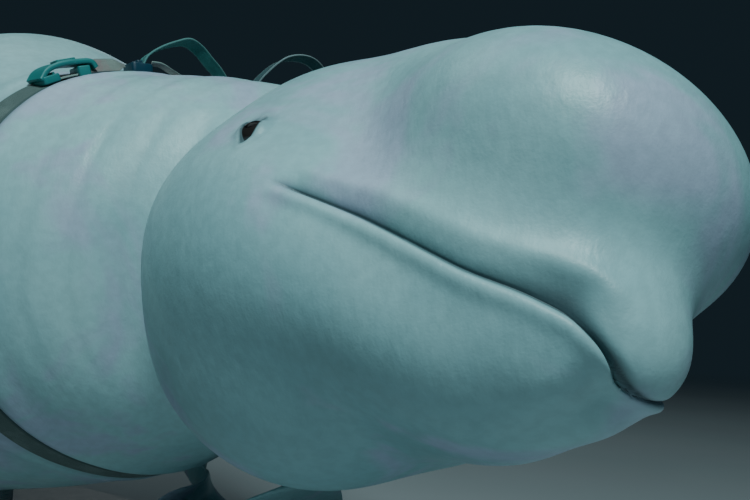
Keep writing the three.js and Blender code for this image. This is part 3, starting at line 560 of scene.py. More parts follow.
class Recipe:
    """A material's node tree, with short calls for the nodes that its finish needs."""

    middle_noise: tuple = (0.3, 0.7)

    def __init__(self, name: str) -> None:
        """Starts an empty tree with a principled shader joined to the output.

        Args:
            name: the material's name.
        """
        self.material = bpy.data.materials.new(name)
        self.material.use_nodes = True
        self.tree = self.material.node_tree
        self.tree.nodes.clear()
        self.shader = self.add("ShaderNodeBsdfPrincipled")
        output = self.add("ShaderNodeOutputMaterial")
        self.tree.links.new(self.shader.outputs[0], output.inputs[0])
        self.place = self.add("ShaderNodeTexCoord").outputs["Object"]

    def add(self, kind: str, inputs: dict | None = None, **settings: object) -> bpy.types.Node:
        """Adds a node, joining each input that is a socket and setting each that is a value.

        Args:
            kind: the node's type.
            inputs: socket names or numbers with what goes into them.
            settings: the node's own settings.

        Returns:
            The node.
        """
        node = self.tree.nodes.new(kind)
        for key, value in settings.items():
            setattr(node, key, value)
        for key, value in (inputs or {}).items():
            if isinstance(value, bpy.types.NodeSocket):
                self.tree.links.new(value, node.inputs[key])
            else:
                node.inputs[key].default_value = value
        return node

    def noise(
        self, scale: float, detail: float = 3.0, rough: float = 0.5, place: object = None, warp: float = 0.0,
    ) -> object:
        """Cloudy noise from 0 to 1.

        Args:
            scale: cycles a metre.
            detail: octaves.
            rough: how much the finer octaves count.
            place: where it is read, the object's own place if not given.
            warp: how far it is distorted.

        Returns:
            The value's socket.
        """
        inputs = {"Vector": place or self.place, "Scale": scale}
        inputs.update({"Detail": detail, "Roughness": rough, "Distortion": warp})
        return self.add("ShaderNodeTexNoise", inputs).outputs[0]

    def stretched(self, x: float, y: float, z: float) -> object:
        """The object's own place with each axis scaled."""
        return self.add("ShaderNodeMapping", {"Vector": self.place, "Scale": (x, y, z)}).outputs[0]

    def range(
        self, value: object, low: float, high: float, to_low: float = 0.0, to_high: float = 1.0,
    ) -> object:
        """The value carried from one range to another, smoothly and held at its ends.

        Args:
            value: the value's socket.
            low: start of its range.
            high: end of its range.
            to_low: start of the new range.
            to_high: end of the new range.

        Returns:
            The new value's socket.
        """
        names = ("Value", "From Min", "From Max", "To Min", "To Max")
        inputs = dict(zip(names, (value, low, high, to_low, to_high)))
        return self.add("ShaderNodeMapRange", inputs, interpolation_type="SMOOTHSTEP").outputs[0]

    def varied(self, scale: float, detail: float, low: float = 0.0, high: float = 1.0) -> object:
        """A number that wanders between two others with cloudy noise."""
        return self.range(self.noise(scale, detail), *self.middle_noise, low, high)

    def sum(self, kind: str, a: object, b: object) -> object:
        """Two values put together by ADD, MULTIPLY and so on."""
        return self.add("ShaderNodeMath", {0: a, 1: b}, operation=kind).outputs[0]

    def shaded(self, colour: object, tone: object) -> object:
        """A colour times a grey tone."""
        grey = self.add("ShaderNodeCombineColor", {0: tone, 1: tone, 2: tone}).outputs[0]
        return self.blend(1.0, colour, grey, "MULTIPLY")

    def blend(self, share: object, a: object, b: object, kind: str = "MIX") -> object:
        """Two colours put together.

        Args:
            share: how much of the second counts.
            a: the first, a socket or three numbers.
            b: the second.
            kind: MIX, MULTIPLY and so on.

        Returns:
            The new colour's socket.
        """
        a, b = (v if isinstance(v, bpy.types.NodeSocket) else (*v, 1.0) for v in (a, b))
        inputs = {0: share, 6: a, 7: b}
        return self.add("ShaderNodeMix", inputs, data_type="RGBA", blend_type=kind).outputs[2]

    def mark(self, name: str) -> object:
        """A value that the mesh carries at its points."""
        return self.add("ShaderNodeAttribute", attribute_name=name).outputs["Fac"]

    def bump(self, height: object, depth: float, normal: object = None) -> object:
        """A normal raised over another one.

        Args:
            height: height from 0 to 1.
            depth: metres at height 1.
            normal: the normal under it, the mesh's own if not given.

        Returns:
            The normal's socket.
        """
        inputs = {"Height": height, "Distance": depth, "Strength": 1.0}
        if normal is not None:
            inputs["Normal"] = normal
        return self.add("ShaderNodeBump", inputs).outputs[0]

    def finish(
        self, colour: object, rough: object, normal: object = None, **fixed: float,
    ) -> bpy.types.Material:
        """Joins colour, roughness and normal to the shader and sets its fixed numbers.

        Args:
            colour: base colour.
            rough: roughness.
            normal: the raised normal.
            fixed: other sockets by name, with _ for a space.

        Returns:
            The finished material.
        """
        pairs = {"Base Color": colour, "Roughness": rough, "Normal": normal}
        pairs.update({key.replace("_", " "): value for key, value in fixed.items()})
        for key, value in pairs.items():
            if value is None:
                continue
            if isinstance(value, bpy.types.NodeSocket):
                self.tree.links.new(value, self.shader.inputs[key])
            else:
                self.shader.inputs[key].default_value = (*value, 1.0) if isinstance(value, tuple) else value
        return self.material


@dataclass(frozen=True)
class WhaleSkin:
    """Cool off-white skin with faint pink and grey mottling, and shade painted dark into its creases, mouth
    line and eyes.
    """

    pale: tuple = (0.36, 0.59, 0.62)
    cool: tuple = (0.27, 0.48, 0.52)
    pink: tuple = (0.42, 0.47, 0.62)
    shade: tuple = (0.045, 0.085, 0.10)
    clouds: tuple = (3.1, 4.0, 0.55)
    cloud_warp: float = 0.4
    cloud_range: tuple = (0.36, 0.66)
    blots: tuple = (6.4, 3.0, 0.6)
    blot_stretch: tuple = (1.0, 1.2, 0.8)
    blot_warp: float = 0.8
    blot_range: tuple = (0.50, 0.66, 0.0, 0.8)
    freckles: tuple = (95.0, 2.0, 0.95, 1.04)
    wrinkles: tuple = (34.0, 3.0, 0.6)
    wrinkle_stretch: tuple = (1.6, 0.7, 0.7)
    wrinkle_depth: float = 0.0011
    pores: tuple = (420.0, 2.0)
    pore_depth: float = 0.00016
    rough: tuple = (14.0, 3.0, 0.36, 0.50)
    specular: float = 0.45

    def make(self) -> bpy.types.Material:
        """Two sizes of cloud mix pale and cool, a third lays pink patches, and the painted shade mark blends
        in the dark shade colour.

        Returns:
            The material.
        """
        r = Recipe("whale_skin")
        clouds = r.range(r.noise(*self.clouds, warp=self.cloud_warp), *self.cloud_range)
        colour = r.blend(clouds, self.cool, self.pale)
        blots = r.noise(*self.blots, place=r.stretched(*self.blot_stretch), warp=self.blot_warp)
        colour = r.blend(r.range(blots, *self.blot_range), colour, self.pink)
        colour = r.shaded(colour, r.varied(*self.freckles))
        # Painted shade: the mark darkens creases, the mouth line, the upper lip over it and the eyes with the
        # shade colour.
        colour = r.blend(r.mark("painted_shade"), colour, self.shade)
        wrinkles = r.noise(*self.wrinkles, place=r.stretched(*self.wrinkle_stretch))
        normal = r.bump(wrinkles, self.wrinkle_depth)
        normal = r.bump(r.noise(*self.pores), self.pore_depth, normal)
        return r.finish(colour, r.varied(*self.rough), normal, Specular_IOR_Level=self.specular)


@dataclass(frozen=True)
class EyeGloss:
    """A wet dark eye: black pupil, brown iris with fine rays, and a greyish rim."""

    pupil: tuple = (0.004, 0.004, 0.005)
    iris: tuple = (0.014, 0.012, 0.012)
    rim: tuple = (0.06, 0.075, 0.085)
    rays: tuple = (900.0, 2.0)
    ray_gain: float = 2.2
    pupil_ends: tuple = (0.30, 0.36)
    iris_ends: tuple = (0.72, 0.95)
    rough: float = 0.12
    specular: float = 0.1

    def make(self) -> bpy.types.Material:
        """The gaze mark, the angle from the eye's axis, picks pupil, iris or rim.

        Returns:
            The material.
        """
        r = Recipe("eye")
        gaze = r.mark("gaze")
        rays = r.blend(r.noise(*self.rays), self.iris, tuple(self.ray_gain * v for v in self.iris))
        colour = r.blend(r.range(gaze, *self.pupil_ends), self.pupil, rays)
        colour = r.blend(r.range(gaze, *self.iris_ends), colour, self.rim)
        return r.finish(colour, self.rough, None, Specular_IOR_Level=self.specular)


@dataclass(frozen=True)
class Webbing:
    """Woven strap: fine ribs across, a binding along both edges, and colour worn in places."""

    name: str
    colour: tuple
    worn: tuple
    edge: tuple
    ribs: float = 900.0
    binding: tuple = (0.0104, 0.0122, 0.0, 0.8)
    wear: tuple = (26.0, 4.0, 0.65)
    wear_range: tuple = (0.42, 0.68)
    rib_tones: tuple = (0.72, 1.08)
    rib_depth: float = 0.0003
    rough: float = 0.82
    sheen: float = 0.15

    def make(self) -> bpy.types.Material:
        """The weave map's two directions make ribs that cross; noise fades the colour, the binding is plain.

        Returns:
            The material.
        """
        r = Recipe(self.name)
        weave = r.add("ShaderNodeUVMap", uv_map="weave").outputs[0]
        parts = r.add("ShaderNodeSeparateXYZ", {0: weave})
        waves = [r.sum("MULTIPLY", parts.outputs[k], self.ribs * 2 * math.pi) for k in (0, 1)]
        along, across = (r.sum("SINE", wave, 0.0) for wave in waves)
        ribs = r.sum("MULTIPLY", along, across)
        wear = r.range(r.noise(*self.wear), *self.wear_range)
        colour = r.blend(wear, self.colour, self.worn)
        aside = r.sum("ABSOLUTE", parts.outputs[1], 0.0)
        colour = r.blend(r.range(aside, *self.binding), colour, self.edge)
        colour = r.shaded(colour, r.range(ribs, -1.0, 1.0, *self.rib_tones))
        return r.finish(colour, self.rough, r.bump(ribs, self.rib_depth), Sheen_Weight=self.sheen)


@dataclass(frozen=True)
class MouldedPlastic:
    """Moulded plastic with a fine grain and paler scuffs."""

    name: str
    colour: tuple
    scuffed: tuple
    rough: float = 0.42
    rough_range: tuple = (-0.06, 0.10)
    scuffs: tuple = (120.0, 4.0, 0.7)
    scuff_stretch: tuple = (0.3, 1.0, 1.0)
    scuff_range: tuple = (0.60, 0.74, 0.0, 0.6)
    grain: tuple = (1500.0, 2.0)
    grain_depth: float = 0.00008

    def make(self) -> bpy.types.Material:
        """Fine noise grains the surface; stretched noise lays thin scuffs.

        Returns:
            The material.
        """
        r = Recipe(self.name)
        scuffs = r.noise(*self.scuffs, place=r.stretched(*self.scuff_stretch))
        colour = r.blend(r.range(scuffs, *self.scuff_range), self.colour, self.scuffed)
        rough = r.varied(60.0, 3.0, *(self.rough + change for change in self.rough_range))
        return r.finish(colour, rough, r.bump(r.noise(*self.grain), self.grain_depth))


@dataclass(frozen=True)
class SatinPaint:
    """Satin grey paint, rolled on, with a faint orange peel."""

    name: str
    colour: tuple
    darker: float = 0.86
    rough: tuple = (30.0, 2.0, 0.38, 0.50)
    peel: tuple = (260.0, 2.0)
    peel_depth: float = 0.0002

    def make(self) -> bpy.types.Material:
        """Low noise shifts the tone and fine noise makes the peel.

        Returns:
            The material.
        """
        r = Recipe(self.name)
        colour = r.blend(r.varied(4.0, 3.0), self.colour, tuple(self.darker * v for v in self.colour))
        return r.finish(colour, r.varied(*self.rough), r.bump(r.noise(*self.peel), self.peel_depth))


@dataclass(frozen=True)
class BrushedSteel:
    """Turned steel with fine rings round it."""

    name: str
    colour: tuple = (0.60, 0.61, 0.62)
    squeeze: tuple = (1.0, 1.0, 60.0)
    rough: tuple = (0.24, 0.40)
    ring_depth: float = 0.00005

    def make(self) -> bpy.types.Material:
        """Noise squeezed along Z makes rings.

        Returns:
            The material.
        """
        r = Recipe(self.name)
        rings = r.noise(30.0, 3.0, place=r.stretched(*self.squeeze))
        rough = r.range(rings, *r.middle_noise, *self.rough)
        return r.finish(self.colour, rough, r.bump(rings, self.ring_depth), Metallic=1.0)


# The skin


@dataclass(frozen=True)
class MouthForm:
    """How the lips roll in to the mouth line, and how the lower jaw stands back under the beak.

    A triple holds a size, what the front of the mouth adds and what the nose adds.
    """

    corner: tuple = (216.0, 249.0)
    front: tuple = (5.0, 85.0)
    nose: tuple = (-8.0, 14.0)
    groove: tuple = (9.0, 3.0, -3.5)
    groove_below: float = 2.4
    roll: tuple = (8.0, 6.0, -10.5)
    upper_lip: tuple = (3.4, 21.0, 8.0, 9.0)
    lower_lip: tuple = (3.8, 9.0, 7.0)
    hollow_depth: float = 6.0
    hollow_behind: tuple = (8.0, 24.0)
    hollow_above: tuple = (13.0, 13.0)
    hollow_side: tuple = (22.0, 42.0)
    setback: float = 18.0
    setback_forward: tuple = (-70.0, 10.0)
    setback_side: tuple = (0.0, 46.0)
    setback_lost: float = 0.85
    setback_under: tuple = (-1.0, 3.0)
    shadow: tuple = (0.62, 0.2, 0.0)
    shadow_reach: tuple = (7.0, 8.0, -9.0)
    line_mark: tuple = (0.85, 0.3, 2.0)
    hollow_mark: float = 0.35

    def relief(self, off: Array, behind: Array, across: Array) -> tuple[Array, Array]:
        """The upper lip rolls in over the mouth line and the lower lip starts sharply under it, with shade
        painted into the line, over it on the upper lip and in the beak's side hollow.

        Args:
            off: height over the mouth line.
            behind: distance behind the beak.
            across: distance from the mid plane, to the left.

        Returns:
            Heights over the smooth body and painted shade marks.
        """
        closing = 1 - smooth(behind, *self.corner)
        front, nose = 1 - smooth(behind, *self.front), smooth(-behind, *self.nose)
        depth, roll, shadow, spread = (
            size + at_front * front + at_nose * nose
            for size, at_front, at_nose in (self.groove, self.roll, self.shadow, self.shadow_reach)
        )
        above = np.exp(-np.maximum(off, 0) / roll) * (off >= 0)
        groove = -depth * (above + bell(off, self.groove_below) * (off < 0))
        swell, place, forward, reach = self.upper_lip
        lips = swell * bell(off - place - forward * front, reach) * (1 - nose)
        swell, place, reach = self.lower_lip
        lips = lips + swell * bell(off + place, reach)
        height = (groove + lips) * closing
        aside = np.abs(across)
        place, reach = self.hollow_behind
        over, over_reach = self.hollow_above
        hollow = bell(behind - place, reach) * bell(off - over, over_reach) * smooth(aside, *self.hollow_side)
        height -= self.hollow_depth * hollow
        fading = 1 - self.setback_lost * smooth(aside, *self.setback_side)
        back = self.setback * smooth(-behind, *self.setback_forward)
        height -= back * fading * smooth(-off, *self.setback_under)
        # Painted shadow on the upper lip above the mouth line; painted shade in the line itself and in the
        # hollow.
        shadow = shadow * bell(np.maximum(off, 0), spread) * (off > 0)
        mark, under, reach = self.line_mark
        painted_shade = closing * (mark * bell(off + under, reach) + shadow) + self.hollow_mark * hollow
        return height, painted_shade


@dataclass(frozen=True)
class Blowhole:
    """A crescent on top of the head, convex backwards and a little to the left."""

    behind: float = 338.0
    left: float = 12.0
    radius: float = 31.0
    width: float = 3.2
    depth: float = 9.0
    ends: tuple = (62.0, 80.0)
    rims: tuple = ((3.0, -8.0, 6.0), (2.0, 8.0, 5.0))
    lowest: float = 100.0
    reach: float = 30.0
    mark: float = 0.9

    def sink(self, points: Array, painted_shade: Array) -> tuple[Array, Array]:
        """Sinks the crescent, raises a low rim on both its sides and paints shade into the cut.

        Args:
            points: the skin's places in the straight frame.
            painted_shade: its painted shade marks.

        Returns:
            Both, changed round the blowhole.
        """
        x, y = points[..., 0] + self.behind, points[..., 1] - self.left
        off = np.hypot(x, y) - self.radius
        sweep = np.abs(np.arctan2(y, -x))
        ends = 1 - smooth(sweep, *np.radians(self.ends))
        top = (points[..., 2] > self.lowest) & (np.abs(off) < self.reach)
        cut = bell(off, self.width) * ends * top
        lift = -self.depth * cut
        for height, place, reach in self.rims:
            lift = lift + height * bell(off + place, reach) * ends * top
        points[..., 2] += lift
        # Painted shade in the crescent's cut.
        return points, np.clip(painted_shade + self.mark * cut, 0, 1)


@dataclass
class FlipperShape:
    """A blade along a bowed middle line, widest past its middle, that turns from root to tip."""

    side: int
    bow: tuple
    tip: tuple
    lead_root: tuple
    lead_tip: tuple
    root: tuple = (-985.0, 265.0, -242.0)
    chord: tuple = ((0, 176), (0.22, 212), (0.55, 270), (0.78, 268), (0.92, 196), (0.98, 112), (1, 46))
    thickness: tuple = ((0, 56), (0.3, 40), (0.7, 24), (1, 9))
    sweep: float = 34.0
    blunt: float = 0.28
    turning: float = 0.8

    def middle(self, t: Array) -> Array:
        """The middle line: 2t(1-t) bow + t squared tip, from the root."""
        t = np.asarray(t, float)[..., None]
        return 2 * t * (1 - t) * np.array(self.bow) + t * t * np.array(self.tip)

    def sections(self, t: Array, angles: Array) -> Array:
        """Oval sections across the middle line, with the leading edge blunter than the trailing one.

        Args:
            t: shares along the flipper.
            angles: angles round a section, 0 at the leading edge.

        Returns:
            Points by section and angle, in the straight frame.
        """
        t = np.asarray(t, float)
        bow, tip = np.array(self.bow), np.array(self.tip)
        forward = unit(2 * (1 - 2 * t)[:, None] * bow + 2 * t[:, None] * tip)
        lead = mix(np.array(self.lead_root), np.array(self.lead_tip), smooth(t, 0.0, self.turning)[:, None])
        face = unit(np.cross(forward, lead))
        lead = np.cross(face, forward)
        wide = SmoothCurve(self.chord)(t)[:, None, None] / 2
        thick = SmoothCurve(self.thickness)(t)[:, None, None] / 2
        shift = (self.sweep * np.sin(math.pi * np.clip(t, 0, 1)))[:, None, None]
        c, s = np.cos(angles)[None, :, None], np.sin(angles)[None, :, None]
        fore = wide * c + shift
        up = thick * s * (1 - self.blunt + self.blunt * c)
        points = self.middle(t)[:, None, :] + fore * lead[:, None, :] + up * face[:, None, :]
        points = points + np.array(self.root)
        return points * np.array([1, self.side, 1])


@dataclass(frozen=True)
class FlukeShape:
    """The tail's two lobes as rings that widen back to the trailing edge, with a notch in the middle."""

    span: float = 1040.0
    root: float = 50.0
    back: float = 3830.0
    notch: float = 4128.0
    tip: float = 4142.0
    convex: float = 66.0
    tip_reach: float = 0.92
    stock_half: float = 67.0
    blade_half: float = 15.0
    edge_half: float = 2.4
    lift: float = -22.0
    edge_curve: float = 0.8
    convex_gain: float = 2.2
    convex_powers: tuple = (0.75, 1.6)
    notch_power: float = 1.5
    stock_fades: tuple = (2.4, 0.6)
    blade_fades: tuple = (0.7, 0.45)
    tips_rise: float = 16.0

    def points(self, v: Array, angle: Array) -> Array:
        """Places at a share v from the tail's end to the trailing edge and an angle round the ring.

        The half width grows with the sine of v; the trailing edge bulges outside the notch; the thickness
        fades from the stock's to a thin edge.

        Args:
            v: share back, 0 to 1.
            angle: angle round the ring, from the left over the top.

        Returns:
            Places in the straight frame.
        """
        v, angle = np.broadcast_arrays(np.asarray(v, float), angle)
        u = np.cos(angle)
        out = np.abs(u)
        lead = np.sin(v * math.pi / 2)
        wide = self.root + (self.span / 2 - self.root) * lead**self.tip_reach
        edge = self.back + (self.tip - self.back) * (1 - np.cos(v * math.pi / 2)) ** self.edge_curve
        middle = self.back + (self.notch - self.back) * v
        inner, outer = self.convex_powers
        bulge = self.convex * v**2 * self.convex_gain * out**inner * (1 - out**outer)
        behind = middle + (edge - middle) * out**self.notch_power + bulge
        power, thinner = self.stock_fades
        root = self.stock_half * (1 - v) ** power * (1 - thinner * out * lead)
        power, thinner = self.blade_fades
        blade = self.blade_half * (1 - v) ** power * lead * (1 - thinner * out**2) * 2
        high = root + blade + self.edge_half
        level = self.lift + self.tips_rise * v * out
        return np.stack([-behind, wide * u, level + high * np.sin(angle)], -1)


@dataclass(frozen=True)
class EyeSet:
    """Where an eye sits and how its lids lie over the ball."""

    behind: float = 333.0
    height: float = 19.0
    ball: float = 20.0
    sunk: float = 16.5
    lid: float = 2.6
    slit: tuple = (27.0, 9.0)
    slant: float = 56.0
    ring: float = 13.0
    ring_keeps: tuple = (-0.4, 1.8)
    reach: float = 62.0
    nearest: float = -30.0
    melting: float = 2.5
    lid_ends: tuple = (26.0, 40.0)
    rim: tuple = (1.3, 1.6)
    lid_roll: tuple = (0.5, 4.0, 2.5)
    fold: tuple = (1.1, 11.0, 2.2)
    fold_over: tuple = (-0.2, 0.6)
    dive: tuple = (10.0, 0.45)
    rim_mark: tuple = (0.75, 1.2, 1.6)
    inside_mark: float = 0.9
    lid_mark: tuple = (0.30, 7.0)
    fold_mark: tuple = (0.12, 2.5)

    def centre(self, shape: BodyShape, side: int) -> Array:
        """The ball's centre, sunk under the skin straight out from the axis.

        Args:
            shape: the body.
            side: 1 left, -1 right.

        Returns:
            The centre.
        """
        origin = np.array([-self.behind, 0.0, self.height])
        reach = float(shape.reach(origin[None], np.array([[0.0, side, 0.0]]))[0])
        return np.array([-self.behind, side * (reach - self.sunk), self.height])

    def frame(self, shape: BodyShape, side: int) -> tuple[Array, Array, Array, Array]:
        """The ball's centre and three axes: along the slit, across it, and outward.

        Args:
            shape: the body.
            side: 1 left, -1 right.

        Returns:
            The centre and the three unit vectors.
        """
        centre = self.centre(shape, side)
        out = shape.normal((centre + np.array([0, side * self.sunk, 0]))[None])[0]
        a = math.radians(self.slant)
        along = np.array([math.cos(a), 0.0, -math.sin(a)])
        along = unit(along - out * (along @ out))
        return centre, along, np.cross(out, along), out

    def outline(self, phi: Array) -> Array:
        """The slit's outline, two parabolas v = b (1 - u squared over a squared) that meet at its corners.

        Args:
            phi: angles round the slit's middle.

        Returns:
            Its radius at each.
        """
        a, b = self.slit
        c2, s = np.cos(phi) ** 2 * b / a**2, np.abs(np.sin(phi))
        root = (np.sqrt(s**2 + 4 * c2 * b) - s) / np.maximum(2 * c2, 1e-9)
        return np.where(c2 > 1e-5, root, b / np.maximum(s, 1e-6))

    def lid_height(self, base: Array, moved: Array, past: Array, phi: Array) -> Array:
        """The lids melt from the skin onto a shell over the ball, with a rim, a roll and a fold.

        Args:
            base: the skin's own height there.
            moved: distance from the slit's middle.
            past: distance past the slit's outline.
            phi: angle round the slit's middle.

        Returns:
            Heights over the ball's centre.
        """
        ball = np.sqrt(np.maximum((self.ball + self.lid) ** 2 - moved**2, 0.0))
        lid = self.melting * np.logaddexp(base / self.melting, ball / self.melting)
        lid = mix(base, lid, 1 - smooth(moved, *self.lid_ends))
        depth, reach = self.rim
        swell, place, swell_reach = self.lid_roll
        lid -= depth * bell(past, reach) - swell * bell(past - place, swell_reach)
        depth, place, reach = self.fold
        lid -= depth * bell(past - place, reach) * smooth(np.sin(phi), *self.fold_over)
        return lid

    def marks(self, past: Array, inside: Array) -> Array:
        """Painted shade at the rim, inside the slit, on the lids and along their fold.

        Args:
            past: distance past the slit's outline.
            inside: how far inside the slit, 0 to 1.

        Returns:
            What is added to the painted shade marks.
        """
        mark, inner, outer = self.rim_mark
        marks = mark * bell(np.minimum(past, 0), inner) * bell(np.maximum(past, 0), outer)
        marks += self.inside_mark * (inside > 0)
        mark, reach = self.lid_mark
        marks += mark * bell(np.maximum(past, 0), reach) * (past > 0)
        mark, reach = self.fold_mark
        return marks + mark * bell(past - self.fold[1], reach)


@dataclass(frozen=True)
class StrapLine:
    """The ring that the harness runs on: it moves forward over the back."""

    behind: float = 815.0
    forward: float = 50.0
    rises: tuple = (60.0, 220.0)
    width: float = 34.0

    def place(self, shape: BodyShape, angle: Array) -> Array:
        """Distance behind the beak at an angle round the body."""
        rough = shape.on_ring(np.full(np.shape(angle), self.behind), angle)
        return self.behind - self.forward * smooth(rough[..., 2], *self.rises)

    def on(self, shape: BodyShape, degrees: Array, lift: Array, forward: Array = 0.0) -> Array:
        """Places on the line, lifted off the skin and moved forward."""
        angle = np.radians(np.asarray(degrees, float))
        return shape.on_ring(self.place(shape, angle) - forward, angle, lift)


@dataclass
class Skin:
    """The whole animal's one skin: rings from the beak to the flukes, with both flippers grown out of it."""

    shape: BodyShape
    pose: Pose
    eyes: EyeSet
    strap: StrapLine
    flukes: FlukeShape
    flippers: tuple
    columns: int = 216
    fan_rows: int = 112
    tip_crowd: float = 1.3
    crowd: tuple = (0.45, 0.33)
    stretches: tuple = (
        (260, 412, 2.6), (412, 600, 5.0), (600, 850, 6.25), (850, 1162, 12.0), (1162, 3300, 30.5),
        (3300, 3830, 14.3),
    )
    fluke_rows: int = 34
    hole: tuple = (850.0, 1150.0, 14)
    hole_angle: float = -36.5
    crowd_ends: tuple = (430.0, 700.0)
    oval_starts: tuple = (3200.0, 3780.0)
    tip_inset: float = 8.5
    tip_mark: float = 0.9
    joins: float = 0.22
    joins_ahead: float = 0.02
    blade_rows: int = 24
    rounded_from: float = 0.9
    rounding: tuple = (0.25, 8, 1.5)
    bridge_rows: int = 9
    pulls: tuple = (1.1, 0.9)
    mouth: MouthForm = MouthForm()
    blowhole: Blowhole = Blowhole()
    ridge: tuple = (26.0, 45.0)
    ridge_rises: tuple = (1650.0, 1900.0)
    ridge_falls: tuple = (2250.0, 2600.0)
    strap_swells: tuple = (6.0, 4.0, 17.0, 15.0)
    strap_seat: tuple = (1.2, 2.0, 3.0)
    strap_mark: tuple = (0.35, 2.0, 4.0)
    neck_folds: tuple = ((556, 0.18, 2.6), (602, 0.12, 3.2), (655, 0.05, 2.6), (712, 0.0, 1.8))
    neck_fold_reach: float = 9.0
    neck_fold_side: tuple = (60.0, 220.0)
    neck_fold_mark: float = 0.06
    navel: tuple = (2330.0, 16.0)
    belly_slit: tuple = (7.0, (2640.0, 2700.0), (2800.0, 2850.0))
    vent: tuple = (2960.0, 1.6, 9.0)
    belly_depth: float = 7.0
    belly_marks: tuple = (0.4, 0.55, 0.55)

    def stations(self) -> Array:
        """Distances behind the beak of the rings after the head's fan."""
        runs = [np.linspace(a, b, max(2, round((b - a) / step)) + 1)[1:] for a, b, step in self.stretches]
        return np.concatenate(runs)

    def angles(self, mouth: Array, crowd: Array) -> Array:
        """Column angles of each ring: closer together at the mouth line and a little at the top and bottom.

        Args:
            mouth: angle of the mouth line for each ring.
            crowd: share of the full crowding for each ring.

        Returns:
            Angles by ring and column.
        """
        half = self.columns // 2
        t = np.arange(half) / half
        first, second = self.crowd
        waves = first * np.sin(2 * math.pi * t) / (2 * math.pi)
        waves = waves + second * np.sin(4 * math.pi * t) / (4 * math.pi)
        share = t[None] - crowd[:, None] * waves[None]
        over = mouth[:, None] + (math.pi - 2 * mouth[:, None]) * share
        under = math.pi - mouth[:, None] + (math.pi + 2 * mouth[:, None]) * share
        return np.concatenate([over, under], 1)

    def relief(self, points: Array) -> tuple[Array, Array]:
        """Height over the smooth body, and how much painted shade each place gets.

        The mouth's own form, a low ridge on the back, skin that swells on both sides of the strap, and the
        neck's folds on the side it bends to.

        Args:
            points: places on the smooth body.

        Returns:
            Heights in millimetres and painted shade marks from 0 to 1.
        """
        behind, across, high = -points[..., 0], points[..., 1], points[..., 2]
        height, painted_shade = self.mouth.relief(high - self.shape.curves["mouth"](behind), behind, across)
        tall, reach = self.ridge
        ridge = smooth(behind, *self.ridge_rises) * (1 - smooth(behind, *self.ridge_falls))
        height += tall * ridge * bell(across, reach) * (high > 0)
        strap = self.strap.behind - self.strap.forward * smooth(high, *self.strap.rises)
        half = self.strap.width / 2
        fore, aft, away, reach = self.strap_swells
        fore_swell = fore * bell(behind - (strap - half - away), reach)
        height += fore_swell + aft * bell(behind - (strap + half + away), reach)
        depth, wider, reach = self.strap_seat
        height -= depth * smooth(half + wider - np.abs(behind - strap), 0, reach)
        # Painted shade along both edges of the strap.
        mark, wider, reach = self.strap_mark
        painted_shade += mark * bell(np.abs(behind - strap) - half - wider, reach)
        right = smooth(-across, *self.neck_fold_side)
        # Each neck fold sinks the skin and gets painted shade.
        for place, slope, depth in self.neck_folds:
            fold = bell(behind - place - slope * high, self.neck_fold_reach)
            height -= depth * fold * right
            painted_shade += self.neck_fold_mark * fold * right
        self.mark_belly(behind, across, high, height, painted_shade)
        return height, np.clip(painted_shade, 0, 1)

    def mark_belly(self, behind: Array, across: Array, high: Array, height: Array, painted_shade: Array) -> None:
        """Sinks the navel, the slit behind it and the vent into the belly's mid line, and paints shade into
        them.

        Args:
            behind: distance behind the beak.
            across: distance from the mid plane.
            high: height.
            height: heights over the smooth body, changed in place.
            painted_shade: painted shade marks, changed in place.
        """
        place, reach = self.navel
        navel = bell(np.hypot(behind - place, across), reach) * (high < 0)
        reach, start, end = self.belly_slit
        slit = bell(across, reach) * smooth(behind, *start) * (1 - smooth(behind, *end)) * (high < 0)
        place, longer, reach = self.vent
        vent = bell(np.hypot((behind - place) / longer, across), reach) * (high < 0)
        height -= self.belly_depth * navel + self.belly_depth * slit + self.belly_depth * vent
        # Painted shade in the navel, the slit and the vent.
        at_navel, at_slit, at_vent = self.belly_marks
        painted_shade += at_navel * navel + at_slit * slit + at_vent * vent

    def open_eyes(self, points: Array, painted_shade: Array) -> tuple[Array, Array]:
        """Draws the skin round each eye into lids over the ball, open along a slanted slit.

        Round the eye, the circle of radius ring moves onto the slit's outline, and everything out to reach
        makes room. Outside the slit the lids lie over the ball; inside it the skin dives behind the ball's
        face.

        Args:
            points: the skin's places in the straight frame.
            painted_shade: its painted shade marks.

        Returns:
            Both, changed round the eyes.
        """
        e = self.eyes
        for side in Side:
            centre, along, across, out = e.frame(self.shape, side.value)
            offset = points - centre
            u, v, w = (offset @ axis for axis in (along, across, out))
            radius = np.hypot(u, v)
            near = (radius < e.reach) & (w > e.nearest)
            r, phi = radius[near], np.arctan2(v[near], u[near])
            r = e.ring + (r - e.ring) * smooth(np.abs(r - e.ring), *e.ring_keeps)
            edge = e.outline(phi)
            outer = r + (edge - e.ring) * (1 - smooth(r, e.ring, e.reach))
            moved = np.where(r >= e.ring, outer, edge * r / e.ring)
            past, inside = moved - edge, np.clip(1 - r / e.ring, 0, 1)
            lid = e.lid_height(w[near], moved, past, phi)
            lid -= e.dive[0] * smooth(inside, 0.0, e.dive[1]) * (r < e.ring)
            way = np.cos(phi)[:, None] * along + np.sin(phi)[:, None] * across
            points[near] = centre + moved[:, None] * way + lid[:, None] * out
            # Painted shade at the rim, inside the slit, on the lids and in their fold.
            painted_shade[near] = np.clip(painted_shade[near] + e.marks(past, inside), 0, 1)
        return points, painted_shade

